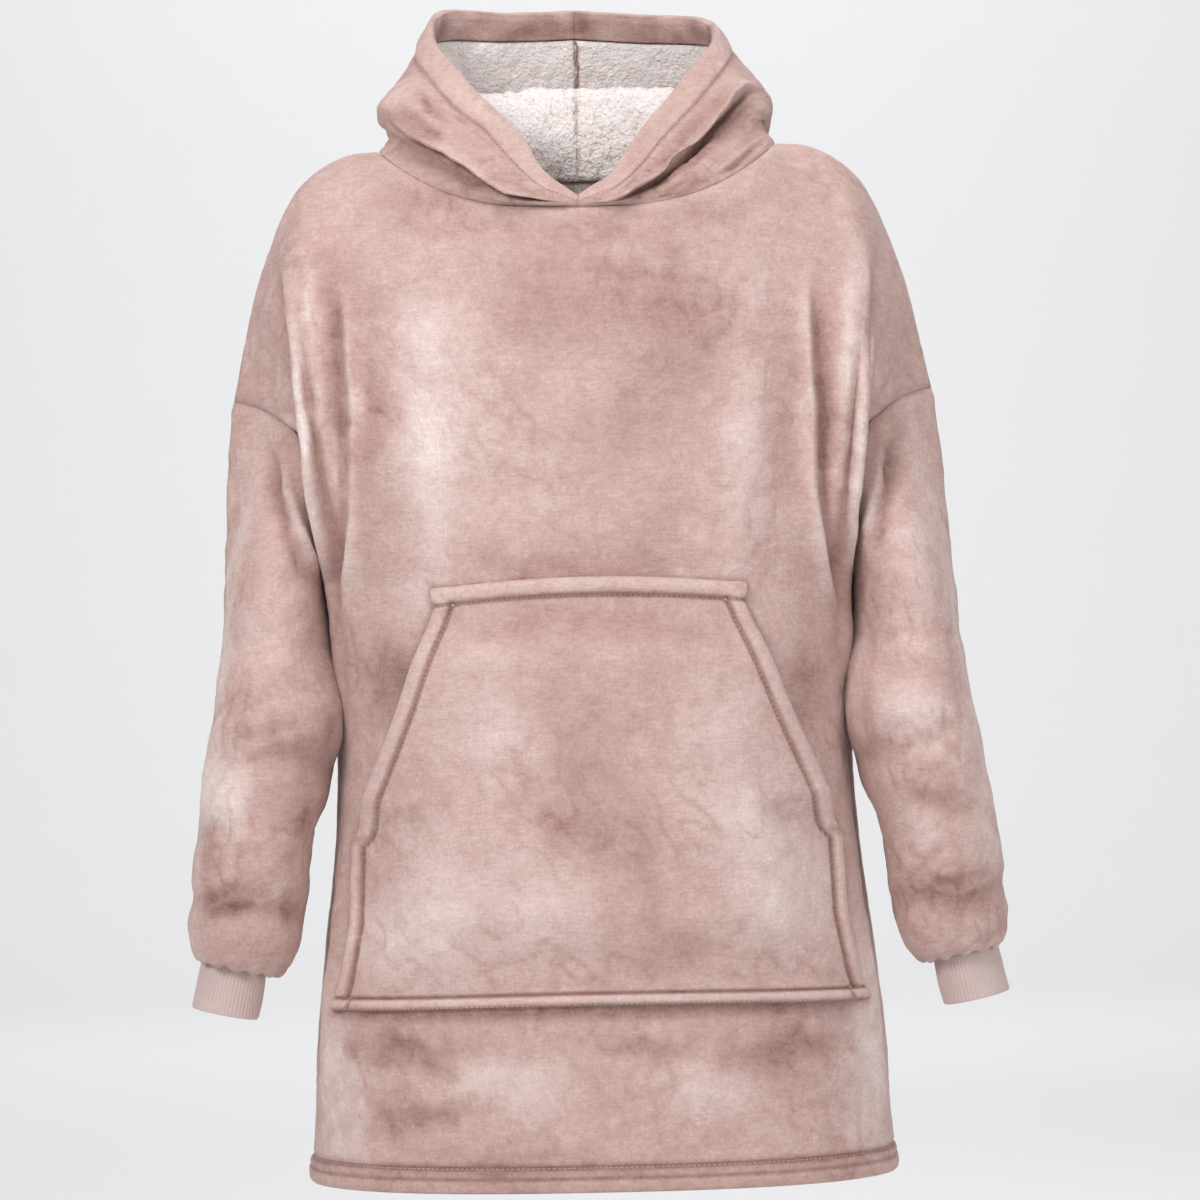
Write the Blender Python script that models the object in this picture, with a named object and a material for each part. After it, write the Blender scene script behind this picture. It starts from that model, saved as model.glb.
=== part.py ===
"""Wearable blanket hoodie, filled out as if worn, with nobody in it.

Axes: +Z up, the front faces -Y, +X is to the right as seen from the front.
The origin lies between the shoulders, at the height of the neck points.
The tables below are in millimetres; mesh_wall turns them into metres.
"""

import bmesh
import bpy
import numpy as np

MM = 0.001
FRONT, BACK = -1, 1
LEFT, RIGHT = -1, 1

# Cloth and seams
SHELL_CLOTH = 3.0
LINING_CLOTH = 3.6
CUFF_CLOTH = 2.6
SEAM_GAP = 0.3
HALF_SEAM = SEAM_GAP / 2
ARMHOLE_GAP = 0.45
LINING_GAP = 0.5

# The garment hangs a little to its right at the shoulders
LEAN = -4.5
LEAN_FROM_Z = -620.0
LEAN_TO_Z = -160.0

# Neckline, half of it: width, depth in front and behind, heights
NECK_HALF_WIDTH = 175.0
NECK_MID_Y = 5.0
NECK_DEPTH = {FRONT: 117.0, BACK: 75.0}
NECK_CENTRE_Z = {FRONT: -57.0, BACK: -22.0}
NECK_POINT_Z = 3.0

# The shoulder line, from the neck point out and down to the top of the armhole
SHOULDER = [
    dict(x=175.0, y=5.0, z=3.0),
    dict(x=198.0, y=6.0, z=1.0),
    dict(x=222.0, y=7.0, z=-9.0),
    dict(x=244.0, y=7.0, z=-26.0),
    dict(x=260.0, y=6.0, z=-50.0),
    dict(x=273.0, y=5.0, z=-80.0),
    dict(x=286.0, y=3.0, z=-116.0),
    dict(x=298.0, y=1.0, z=-166.0),
    dict(x=308.0, y=0.0, z=-214.0),
]

# Where a column of the cloth leaves the top edge and where it comes down onto the torso.
# across: 0 at the centre, 1 at the armhole; the y values point away from the body's middle.
NECK_POINT_ACROSS = 0.6
HANG = [
    dict(across=0.00, leave=(0, 28, -95), arrive=(0, -10, 110)),
    dict(across=0.30, leave=(5, 45, -80), arrive=(0, -8, 110)),
    dict(across=0.50, leave=(38, 48, -45), arrive=(12, 0, 110)),
    dict(across=0.60, leave=(56, 68, -12), arrive=(18, 10, 108)),
    dict(across=0.70, leave=(12, 96, -16), arrive=(20, 26, 98)),
    dict(across=0.82, leave=(-26, 109, -34), arrive=(9, 62, 74)),
    dict(across=0.92, leave=(-56, 98, -26), arrive=(-1, 80, 76)),
    dict(across=1.00, leave=(-76, 80, -18), arrive=(-6, 92, 86)),
]

# Level sections of the torso below the armholes
UNDERARM_Z = -376.0
HEM_Z = -897.0
TORSO = [
    dict(z=-376.0, half_width=231.0, front=158.0, back=140.0),
    dict(z=-460.0, half_width=227.0, front=166.0, back=146.0),
    dict(z=-554.0, half_width=226.0, front=172.0, back=151.0),
    dict(z=-640.0, half_width=233.0, front=178.0, back=156.0),
    dict(z=-704.0, half_width=241.0, front=182.0, back=160.0),
    dict(z=-792.0, half_width=250.0, front=186.0, back=166.0),
    dict(z=-860.0, half_width=253.0, front=188.0, back=170.0),
    dict(z=-897.0, half_width=258.0, front=191.0, back=174.0),
]
TORSO_POWER = 2.5

# Folds that run down the panels. down: 0 at the top edge, 1 at the underarm, 2 at the hem
FRONT_FOLDS = [
    dict(across=0.83, width=0.045, height=11.0, start=0.22, peak=0.60, end=1.35),
    dict(across=0.765, width=0.030, height=-8.0, start=0.20, peak=0.65, end=1.30),
    dict(across=0.69, width=0.032, height=8.5, start=0.18, peak=0.60, end=1.30),
    dict(across=0.61, width=0.040, height=-5.5, start=0.22, peak=0.60, end=1.20),
    dict(across=0.42, width=0.060, height=4.0, start=0.30, peak=0.80, end=1.30),
    dict(across=0.90, width=0.040, height=-5.0, start=1.05, peak=1.45, end=2.05),
    dict(across=0.78, width=0.060, height=4.0, start=1.10, peak=1.60, end=2.20),
]
BACK_FOLDS = [
    dict(across=0.83, width=0.045, height=10.0, start=0.25, peak=0.62, end=1.45),
    dict(across=0.76, width=0.032, height=-8.0, start=0.25, peak=0.66, end=1.40),
    dict(across=0.67, width=0.034, height=7.5, start=0.22, peak=0.62, end=1.35),
    dict(across=0.30, width=0.070, height=6.0, start=0.55, peak=1.30, end=2.30),
    dict(across=0.48, width=0.060, height=-6.0, start=0.60, peak=1.40, end=2.30),
    dict(across=0.64, width=0.060, height=6.0, start=1.00, peak=1.60, end=2.40),
]

# Hem of the body: a turned edge with one row of stitches
HEM_BAND = 21.0
HEM_PUFF = 1.6
HEM_SOFT_END = 5.0
STITCH_DIP = 0.9

# Sleeve sections, from just under the armhole to the gathered end
SLEEVE = [
    dict(z=-430.0, inner=232.0, outer=323.0, y=-26.0, depth=77.0, tilt=1.0),
    dict(z=-490.0, inner=222.0, outer=331.0, y=-54.0, depth=75.0, tilt=2.0),
    dict(z=-552.0, inner=231.0, outer=341.0, y=-60.0, depth=71.0, tilt=4.0),
    dict(z=-587.0, inner=244.0, outer=346.0, y=-61.0, depth=67.0, tilt=6.0),
    dict(z=-622.0, inner=250.0, outer=350.5, y=-61.0, depth=63.0, tilt=7.0),
    dict(z=-657.0, inner=254.5, outer=354.5, y=-60.0, depth=59.0, tilt=9.0),
    dict(z=-684.0, inner=261.5, outer=356.5, y=-59.0, depth=54.0, tilt=10.0),
    dict(z=-702.0, inner=272.0, outer=353.5, y=-58.0, depth=46.0, tilt=11.0),
    dict(z=-708.5, inner=281.5, outer=348.5, y=-57.0, depth=36.0, tilt=12.0),
    dict(z=-702.5, inner=287.6, outer=344.8, y=-57.0, depth=28.6, tilt=12.0),
]
SLEEVE_POWER = 2.15
SLEEVE_CREASES = [
    dict(z=-470.0, width=16.0, depth=4.0, towards=70.0, spread=75.0, slant=0.25),
    dict(z=-528.0, width=13.0, depth=5.0, towards=120.0, spread=80.0, slant=-0.20),
    dict(z=-585.0, width=12.0, depth=3.5, towards=60.0, spread=70.0, slant=0.22),
    dict(z=-655.0, width=11.0, depth=5.5, towards=80.0, spread=110.0, slant=-0.10),
    dict(z=-500.0, width=15.0, depth=5.0, towards=265.0, spread=80.0, slant=0.20),
    dict(z=-600.0, width=13.0, depth=5.0, towards=250.0, spread=85.0, slant=-0.18),
]
GATHERS = 13
GATHER_DEPTH = 1.6

# Cuff: a knitted tube that leans out with the sleeve's end
CUFF_TOP = dict(x=316.0, y=-57.0, z=-700.0)
CUFF_BOTTOM = dict(x=326.5, y=-60.0, z=-748.0)
CUFF_RADIUS = {"top": 27.2, "middle": 28.4, "bottom": 28.6}
CUFF_TILT = 12.0
CUFF_ROWS = [0, 0.03, 0.3, 0.6, 0.95, 1.0]
CUFF_TURNED_IN = 0.8

# Pocket: half widths from its top edge down to its bottom edge
POCKET_EDGE = [
    dict(z=-384.0, half_width=133.0),
    dict(z=-399.0, half_width=131.0),
    dict(z=-495.0, half_width=165.0),
    dict(z=-592.0, half_width=203.0),
    dict(z=-604.0, half_width=208.0),
    dict(z=-670.0, half_width=211.0),
    dict(z=-722.0, half_width=221.0),
    dict(z=-746.0, half_width=229.0),
]
POCKET_MOUTH_TOP_Z = -399.0
POCKET_MOUTH_BOTTOM_Z = -592.0
POCKET_BAND = 15.0
POCKET_BAND_PUFF = 2.4
POCKET_ROOM = 13.0
POCKET_SEAT = 0.8
POCKET_EDGE_STEPS = [0, 3, 7.5, 12, 15, 19]
POCKET_MOUTH_FADE = 30.0
POCKET_RISE = {"side": 70.0, "mouth": 60.0, "top": 55.0, "bottom": 70.0}

# Hood sections, going round from the throat (0 degrees) to the middle of the back (180).
# Each pair is (distance out from the neck's middle, height).
HOOD = {
    LEFT: [
        dict(
            at=0, base=(112.3, -55.6), ridge=(112.5, -55), pouch=(112.7, -54.3),
            belly=(112.8, -53.6), stitch=(112.8, -53), rim=(111, -47.5),
        ),
        dict(
            at=5, base=(113.5, -55.5), ridge=(114.3, -54), pouch=(114.6, -52.3),
            belly=(114.3, -50.6), stitch=(113.2, -48.8), rim=(107.5, -40.5),
        ),
        dict(
            at=16, base=(117.5, -54.5), ridge=(119, -51.5), pouch=(119, -48),
            belly=(117.5, -44), stitch=(113.5, -39.5), rim=(99, -26),
        ),
        dict(
            at=30, base=(123, -52), ridge=(123, -47), pouch=(126, -40),
            belly=(121, -30), stitch=(107, -18), rim=(86, 2),
        ),
        dict(
            at=50, base=(134, -33), ridge=(129, -25), pouch=(134, -14),
            belly=(128, 2), stitch=(103, 14), rim=(82, 26),
        ),
        dict(
            at=72, base=(152, -11), ridge=(143, -3), pouch=(149, 8),
            belly=(144, 23), stitch=(112, 38), rim=(90, 50),
        ),
        dict(
            at=91, base=(169, 9), ridge=(165, 17), pouch=(172, 26),
            belly=(174, 42), stitch=(128, 66), rim=(104, 74),
        ),
        dict(
            at=110, base=(142, 19), ridge=(152, 34), pouch=(177, 22),
            belly=(185, 42), stitch=(152, 91), rim=(137, 110),
        ),
        dict(
            at=130, base=(106, 16), ridge=(124, 50), pouch=(168, -38),
            belly=(197, 8), stitch=(168, 110), rim=(158, 136),
        ),
        dict(
            at=155, base=(84, 12), ridge=(104, 57), pouch=(150, -86),
            belly=(192, -20), stitch=(149, 112), rim=(137, 136),
        ),
        dict(
            at=180, base=(80, 10), ridge=(97, 58), pouch=(141, -100),
            belly=(183, -28), stitch=(137, 113), rim=(126, 137),
        ),
    ],
    RIGHT: [
        dict(
            at=0, base=(112.3, -55.6), ridge=(112.5, -55), pouch=(112.7, -54.3),
            belly=(112.8, -53.6), stitch=(112.8, -53), rim=(111, -47.5),
        ),
        dict(
            at=5, base=(113.3, -55.5), ridge=(114, -54), pouch=(114.2, -52.3),
            belly=(114, -50.8), stitch=(113, -49), rim=(107.5, -41),
        ),
        dict(
            at=16, base=(116.5, -54.5), ridge=(117, -52), pouch=(116.8, -49),
            belly=(115.5, -45.8), stitch=(112.5, -42), rim=(98, -29),
        ),
        dict(
            at=30, base=(119, -49), ridge=(115, -42), pouch=(114, -37),
            belly=(111.5, -31.5), stitch=(104, -24), rim=(84, -7),
        ),
        dict(
            at=50, base=(130, -25), ridge=(111, -15), pouch=(109, -9),
            belly=(105.5, -3), stitch=(97, 4), rim=(77, 17),
        ),
        dict(
            at=72, base=(149, -4), ridge=(128, 6), pouch=(126, 14),
            belly=(121, 24), stitch=(104, 31), rim=(83, 41),
        ),
        dict(
            at=91, base=(166, 13), ridge=(158, 21), pouch=(158, 32),
            belly=(152, 45), stitch=(123, 60), rim=(101, 70),
        ),
        dict(
            at=110, base=(146, 20), ridge=(152, 36), pouch=(178, 24),
            belly=(187, 41), stitch=(149, 88), rim=(133, 102),
        ),
        dict(
            at=130, base=(106, 18), ridge=(125, 52), pouch=(172, -36),
            belly=(206, 10), stitch=(166, 102), rim=(154, 124),
        ),
        dict(
            at=155, base=(84, 12), ridge=(104, 57), pouch=(150, -86),
            belly=(192, -20), stitch=(147, 108), rim=(135, 132),
        ),
        dict(
            at=180, base=(80, 10), ridge=(97, 58), pouch=(141, -100),
            belly=(183, -28), stitch=(137, 113), rim=(126, 137),
        ),
    ],
}
HOOD_BAND_PUFF = 1.2
HOOD_BAND_THICKNESS = {"throat": 4.4, "elsewhere": 8.6}
HOOD_BAND_ROWS = [
    dict(share=0.06, proud=0.6, thick=1.0),
    dict(share=0.20, proud=1.0, thick=1.0),
    dict(share=0.50, proud=1.2, thick=1.0),
    dict(share=0.80, proud=0.9, thick=0.92),
    dict(share=1.00, proud=0.0, thick=0.55),
]
THROAT_LENGTH = 22.0
LINING_STARTS_AT = 8.0
LINING_CUT_SHORT = 0.1

# Sections crowd towards the corner of the hood, this share of the way round
CORNER_SHARE = 0.66
CORNER_CROWDING = 0.045

# How finely each piece is cut up
PANEL_NECK_STEPS = 7
PANEL_SHOULDER_STEPS = 9
YOKE_STEPS = 11
TORSO_STEPS = 9
SLEEVE_AROUND = 21
SLEEVE_STEPS_TOP = 6
SLEEVE_STEPS_DOWN = 14
CUFF_AROUND = 18
HOOD_STATIONS = 16
HOOD_PROFILE_STEPS = 15
POCKET_STEPS_ACROSS = 9
POCKET_STEPS_DOWN = 10
DIFFERENCE = 1e-4


def clear_scene():
    for old in list(bpy.data.objects):
        bpy.data.objects.remove(old)


def spline(knots, values, at):
    """A smooth curve through a table: values at the knots, read off at the places in at."""
    knots = np.asarray(knots, float)
    values = np.asarray(values, float)
    at = np.asarray(at, float)
    slope = np.gradient(values, knots, axis=0)
    i = np.clip(np.searchsorted(knots, at, side="right") - 1, 0, len(knots) - 2)
    h = knots[i + 1] - knots[i]
    t = (at - knots[i]) / h
    if values.ndim > 1:
        t, h = t[..., None], h[..., None]
    a, b = values[i], values[i + 1]
    da, db = slope[i] * h, slope[i + 1] * h
    return (
        a * (2 * t**3 - 3 * t**2 + 1)
        + da * (t**3 - 2 * t**2 + t)
        + b * (3 * t**2 - 2 * t**3)
        + db * (t**3 - t**2)
    )


def column(table, *names):
    return np.array([[row[n] for n in names] for row in table], float).squeeze()


def arc_fractions(points):
    steps = np.linalg.norm(np.diff(points, axis=0), axis=1)
    along = np.concatenate([[0], np.cumsum(steps)])
    return along / along[-1]


def stack(x, y, z):
    return np.stack(np.broadcast_arrays(x, y, z), axis=-1)


def cubic(p0, p1, p2, p3, t):
    t = t[..., None]
    s = 1 - t
    return p0 * s**3 + 3 * p1 * s**2 * t + 3 * p2 * s * t**2 + p3 * t**3


def ramp(x):
    """From 0 at 0 to 1 at 1, with soft ends."""
    x = np.clip(x, 0, 1)
    return x * x * (3 - 2 * x)


def bell(x):
    """1 at 0, falling smoothly to nothing."""
    return np.exp(-(x**2))


def rise_and_fall(x, start, peak, end):
    """0 at start, 1 at peak, 0 at end, smooth all the way."""
    return np.where(x < peak, ramp((x - start) / (peak - start)), ramp((end - x) / (end - peak)))


# The panels of the body


def neckline(share, side):
    """A point of the neckline: share 0 at its centre, 1 at the neck point."""
    turn = np.linspace(0, np.pi / 2, 200)
    path = neckline_at(turn, side)
    return neckline_at(np.interp(share, arc_fractions(path), turn), side)


def neckline_at(turn, side):
    s, c = np.sin(turn), np.cos(turn)
    rise = NECK_POINT_Z - NECK_CENTRE_Z[side]
    return stack(
        NECK_HALF_WIDTH * s,
        NECK_MID_Y + side * NECK_DEPTH[side] * c,
        NECK_CENTRE_Z[side] + rise * s**3,
    )


def shoulder(share):
    path = column(SHOULDER, "x", "y", "z")
    return spline(arc_fractions(path), path, share)


def top_edge(across, side):
    on_neck = across < NECK_POINT_ACROSS
    neck = neckline(np.clip(across / NECK_POINT_ACROSS, 0, 1), side)
    beyond = (across - NECK_POINT_ACROSS) / (1 - NECK_POINT_ACROSS)
    return np.where(on_neck[..., None], neck, shoulder(np.clip(beyond, 0, 1)))


def oval(turn, half_width, depth):
    """A squarish oval in polar form: turn 0 points to the front or back, a quarter turn to the side."""
    s, c = np.abs(np.sin(turn)), np.abs(np.cos(turn))
    r = ((s / half_width) ** TORSO_POWER + (c / depth) ** TORSO_POWER) ** (-1 / TORSO_POWER)
    return r * s, r * c


def even_turns(share):
    """The turn that lies at each share of the way round a quarter of a middling section."""
    turn = np.linspace(0, np.pi / 2, 400)
    x, y = oval(turn, 235.0, 170.0)
    return np.interp(share, arc_fractions(np.stack([x, y], 1)), turn)


def torso(across, z, side):
    knots = -column(TORSO, "z")
    half_width = spline(knots, column(TORSO, "half_width"), -z)
    depth = spline(knots, column(TORSO, "front" if side == FRONT else "back"), -z)
    x, y = oval(even_turns(across), half_width, depth)
    return stack(x, side * y, z)


def bare_panel(across, down, side):
    """The half panel with no folds. down: 0 at the top edge, 1 at the underarm, 2 at the hem."""
    start = top_edge(across, side)
    meet = torso(across, np.full_like(across, UNDERARM_Z), side)
    outward = np.array([1, side, 1])
    knots = column(HANG, "across")
    leave = spline(knots, column(HANG, "leave"), across) * outward
    arrive = spline(knots, column(HANG, "arrive"), across) * outward
    yoke = cubic(start, start + leave, meet + arrive, meet, np.clip(down, 0, 1))
    low = torso(across, UNDERARM_Z + (HEM_Z - UNDERARM_Z) * np.clip(down - 1, 0, 1), side)
    return np.where(down[..., None] <= 1, yoke, low)


def normals(surface, a, b, a_range, b_range):
    """Unit normals of surface(a, b), from small steps that stay inside both ranges."""
    step_a = np.where(a + DIFFERENCE > a_range[1], -DIFFERENCE, DIFFERENCE)
    step_b = np.where(b + DIFFERENCE > b_range[1], -DIFFERENCE, DIFFERENCE)
    here = surface(a, b)
    da = (surface(a + step_a, b) - here) * np.sign(step_a)[..., None]
    db = (surface(a, b + step_b) - here) * np.sign(step_b)[..., None]
    n = np.cross(da, db)
    return n / np.maximum(np.linalg.norm(n, axis=-1, keepdims=True), 1e-12)


def fold_height(across, down, side):
    height = np.zeros_like(across)
    for fold in FRONT_FOLDS if side == FRONT else BACK_FOLDS:
        shape = bell((across - fold["across"]) / fold["width"])
        length = rise_and_fall(down, fold["start"], fold["peak"], fold["end"])
        height = height + fold["height"] * shape * length
    return height * np.clip((1 - across) / 0.08, 0, 1)


def panel(across, down, side):
    """A point of the half panel's outer face, for x above 0."""
    out = np.zeros((*np.shape(across), 3))
    for off in (-0.08, -0.04, 0, 0.04, 0.08):
        near = np.clip(down + off, 0, 2)
        out += normals(lambda a, b: bare_panel(a, b, side), across, near, (0, 1), (0, 2))
    out /= np.linalg.norm(out, axis=-1, keepdims=True)
    return bare_panel(across, down, side) + side * out * fold_height(across, down, side)[..., None]


def panel_offsets():
    """The places of the columns across a half panel."""
    neck = np.linspace(0, NECK_POINT_ACROSS, PANEL_NECK_STEPS + 1)
    rest = np.linspace(NECK_POINT_ACROSS, 1, PANEL_SHOULDER_STEPS + 1)
    return np.concatenate([neck, rest[1:]])


def hem_rows():
    """Places of the rows that shape the turned hem, as shares of the torso's length."""
    length = UNDERARM_Z - HEM_Z
    ends = [HEM_BAND + 6, HEM_BAND, HEM_BAND - HEM_SOFT_END, HEM_SOFT_END, 0]
    return 1 - np.array(ends) / length


def hem_profile(above_hem):
    """How far the outer face stands proud over the hem: a soft band under a dip of stitches."""
    band = np.clip(1 - ((above_hem - HEM_BAND / 2) / (HEM_BAND / 2)) ** 4, 0, 1) * HEM_PUFF
    return band - STITCH_DIP * bell((above_hem - HEM_BAND) / 2.5)


def mesh_wall(name, outer, inner, colour, closed_around=False):
    """A wall of cloth as one closed mesh, from its outer and inner grids of points."""
    rows, cols = outer.shape[:2]
    bm = bmesh.new()
    grids = []
    for grid in (outer, inner):
        lean = LEAN * ramp((grid[..., 2] - LEAN_FROM_Z) / (LEAN_TO_Z - LEAN_FROM_Z))
        grid = grid + stack(lean, 0, 0)
        grids.append([[bm.verts.new(p * MM) for p in row] for row in grid])
    last = cols if closed_around else cols - 1
    for j in range(rows - 1):
        for i in range(last):
            k = (i + 1) % cols
            a, b = grids
            bm.faces.new((a[j][i], a[j + 1][i], a[j + 1][k]))
            bm.faces.new((a[j][i], a[j + 1][k], a[j][k]))
            bm.faces.new((b[j][i], b[j + 1][k], b[j + 1][i]))
            bm.faces.new((b[j][i], b[j][k], b[j + 1][k]))
    for i in range(last):
        k = (i + 1) % cols
        a, b = grids
        bm.faces.new((a[0][i], a[0][k], b[0][k], b[0][i]))
        bm.faces.new((a[-1][i], b[-1][i], b[-1][k], a[-1][k]))
    if not closed_around:
        for j in range(rows - 1):
            a, b = grids
            bm.faces.new((a[j][0], b[j][0], b[j + 1][0], a[j + 1][0]))
            bm.faces.new((a[j][-1], a[j + 1][-1], b[j + 1][-1], b[j][-1]))
    bmesh.ops.recalc_face_normals(bm, faces=bm.faces)
    if bm.calc_volume(signed=True) < 0:
        bmesh.ops.reverse_faces(bm, faces=bm.faces)
    mesh = bpy.data.meshes.new(name)
    bm.to_mesh(mesh)
    bm.free()
    return make_solid(name, mesh, colour)


def make_solid(name, mesh, colour):
    mesh.shade_smooth()
    material = bpy.data.materials.get(colour["name"]) or bpy.data.materials.new(colour["name"])
    material.use_nodes = True
    shader = material.node_tree.nodes["Principled BSDF"]
    shader.inputs["Base Color"].default_value = (*colour["rgb"], 1)
    shader.inputs["Roughness"].default_value = colour["roughness"]
    shader.inputs["Metallic"].default_value = 0
    mesh.materials.append(material)
    piece = bpy.data.objects.new(name, mesh)
    bpy.context.scene.collection.objects.link(piece)
    return piece


FLEECE = dict(name="fleece", rgb=(0.60, 0.42, 0.37), roughness=0.9)
SHERPA = dict(name="sherpa", rgb=(0.83, 0.78, 0.75), roughness=1.0)
KNIT = dict(name="knit", rgb=(0.62, 0.47, 0.43), roughness=0.85)


def body_panel(name, side):
    half = panel_offsets()
    half[-1] -= HALF_SEAM / 260
    across = np.concatenate([-half[:0:-1], half])
    rows = np.concatenate(
        [
            np.linspace(0, 1, YOKE_STEPS + 1),
            1 + np.linspace(0, hem_rows()[0], TORSO_STEPS + 1)[1:],
            1 + hem_rows()[1:],
        ]
    )
    rows[0] += HALF_SEAM / 320
    a, d = np.meshgrid(np.abs(across), rows)
    face = panel(a, d, side)
    out = side * normals(lambda p, q: panel(p, q, side), a, d, (0, 1), (0, 2))
    band = hem_profile(face[..., 2] - HEM_Z) * (d > 1)
    out[0, np.abs(across) > NECK_POINT_ACROSS - 0.02, 1] = 0
    out /= np.linalg.norm(out, axis=-1, keepdims=True)
    outer = face + out * band[..., None]
    inner = face - out * SHELL_CLOTH
    for grid in (outer, inner):
        grid[..., 0] *= np.sign(across)[None, :]
    mesh_wall(name, outer, inner, FLEECE)


# The sleeves


def armhole(turn):
    """The armhole seam: 0 degrees at its top, 90 in front, 180 at the underarm, 270 behind."""
    turn = np.mod(turn, 360.0)
    ahead = turn <= 180
    down = np.where(ahead, turn, 360 - turn) / 180
    ones = np.ones_like(down)
    front = bare_panel(ones, down, FRONT)
    back = bare_panel(ones, down, BACK)
    return np.where(ahead[..., None], front, back)


def sleeve_ring(turn, place):
    """A tilted oval section of the sleeve. place counts the rows of its table."""
    knots = np.arange(len(SLEEVE))
    z, inner, outer, y, depth, tilt = (
        spline(knots, column(SLEEVE, n), place) for n in ("z", "inner", "outer", "y", "depth", "tilt")
    )
    a = np.radians(turn)
    c, s = np.cos(a), np.sin(a)
    r = (np.abs(c) ** SLEEVE_POWER + np.abs(s) ** SLEEVE_POWER) ** (-1 / SLEEVE_POWER)
    off = (outer - inner) / 2 * c * r
    return stack((outer + inner) / 2 + off, y - depth * s * r, z + off * np.tan(np.radians(tilt)))


def crease_depth(turn, z):
    depth = np.zeros_like(z)
    for crease in SLEEVE_CREASES:
        off = np.mod(turn - crease["towards"] + 180, 360) - 180
        line = crease["z"] + crease["slant"] * off
        reach = np.clip(1 - (off / crease["spread"]) ** 2, 0, 1)
        depth = depth + crease["depth"] * bell((z - line) / crease["width"]) * reach
    return depth


def bare_sleeve(turn, along):
    """along: 0 to 1 from the armhole to the first section, then one for each section."""
    under = (1 - np.cos(np.radians(turn))) / 2
    start = armhole(turn) + ARMHOLE_GAP * stack(under, 0, under - 1)
    first = sleeve_ring(turn, np.zeros_like(along))
    reach = np.linalg.norm(first - start, axis=-1, keepdims=True) / 3
    s = np.sin(np.radians(turn))
    leave = stack(0.10 + 0 * s, -0.10 * s, -1 + 0 * s)
    arrive = stack(0.06 + 0 * s, 0 * s, -1 + 0 * s)
    top = cubic(start, start + leave * reach, first - arrive * reach, first, np.clip(along, 0, 1))
    low = sleeve_ring(turn, np.clip(along - 1, 0, len(SLEEVE) - 1))
    return np.where(along[..., None] <= 1, top, low)


def sleeve_face(turn, along):
    bare = bare_sleeve(turn, along)
    out = sleeve_normals(bare_sleeve, turn, along)
    last = len(SLEEVE) - 1
    pucker = GATHER_DEPTH * np.clip((along - last + 2.0) / 2.0, 0, 1) * np.sin(np.radians(turn) * GATHERS)
    near_end = np.clip(last - along, 0, 1)
    depth = crease_depth(turn, bare[..., 2]) * near_end
    return bare + out * (pucker * np.clip(last + 1.0 - along, 0.35, 1) - depth)[..., None]


def sleeve_normals(surface, turn, along):
    ends = (0, len(SLEEVE))
    return normals(lambda t, w: surface(t * 100, w), turn / 100, along, (-10, 10), ends)


def sleeve(name, side):
    turns = np.arange(SLEEVE_AROUND) * 360 / SLEEVE_AROUND
    along = np.concatenate(
        [
            np.linspace(0, 1, SLEEVE_STEPS_TOP + 1),
            1 + np.linspace(0, len(SLEEVE) - 1, SLEEVE_STEPS_DOWN + 1)[1:],
        ]
    )
    t, w = np.meshgrid(turns, along)
    outer = sleeve_face(t, w)
    out = sleeve_normals(sleeve_face, t, w)
    inner = outer - out * SHELL_CLOTH
    for grid in (outer, inner):
        grid[..., 0] *= side
    mesh_wall(name, outer, inner, FLEECE, closed_around=True)


def cuff(name, side):
    turns = np.radians(np.arange(CUFF_AROUND) * 360 / CUFF_AROUND)
    shares = np.array(CUFF_ROWS)
    radii = spline([0, 0.4, 1], list(CUFF_RADIUS.values()), shares)
    radii[-1] -= CUFF_TURNED_IN
    top = np.array([CUFF_TOP[k] for k in "xyz"])
    bottom = np.array([CUFF_BOTTOM[k] for k in "xyz"])
    grids = []
    for cloth in (0, CUFF_CLOTH):
        rows = []
        for share, radius in zip(shares, radii):
            centre = top + (bottom - top) * share
            x = (radius - cloth) * np.cos(turns)
            y = -(radius - cloth) * np.sin(turns)
            rows.append(stack(centre[0] + x, centre[1] + y, centre[2] + x * np.tan(np.radians(CUFF_TILT))))
        grid = np.array(rows)
        grid[..., 0] *= side
        grids.append(grid)
    mesh_wall(name, *grids, KNIT, closed_around=True)


# The hood


def from_polar(r, at, z, side):
    a = np.radians(at)
    return stack(side * r * np.sin(a), -r * np.cos(a), z)


def neck_polar(at):
    """The neck seam's distance out and height at an angle round the neck."""
    turn = np.linspace(0, np.pi / 2, 200)
    front, back = neckline_at(turn, FRONT), neckline_at(turn, BACK)
    path = np.concatenate([front, back[::-1]])
    angle = np.degrees(np.arctan2(path[:, 0], -path[:, 1]))
    r = np.hypot(path[:, 0], path[:, 1])
    order = np.argsort(angle)
    return np.interp(at, angle[order], r[order]), np.interp(at, angle[order], path[order, 2])


def hood_section(at, side, shares, band):
    """One section of the hood: even shares from the neck seam to the stitches, then over the band."""
    knots = column(HOOD[side], "at")
    r0, z0 = neck_polar(at)
    points = [(r0, z0 + HALF_SEAM * 4)]
    for part in ("base", "ridge", "pouch", "belly", "stitch", "rim"):
        points.append(spline(knots, column(HOOD[side], part), np.array(at, float)))
    points = np.array(points, float)
    chord = np.sqrt(np.linalg.norm(np.diff(points, axis=0), axis=1))
    place = np.concatenate([[0], np.cumsum(np.maximum(chord, 1e-3))])
    fine = spline(place, points, np.linspace(0, place[-2], 240))
    along = arc_fractions(fine)
    r, z = (np.interp(shares, along, fine[:, k]) for k in (0, 1))
    over = spline(place, points, place[-2] + (place[-1] - place[-2]) * np.asarray(band))
    r, z = np.concatenate([r, over[:, 0]]), np.concatenate([z, over[:, 1]])
    return from_polar(r, np.full_like(r, at), z, side)


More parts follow.
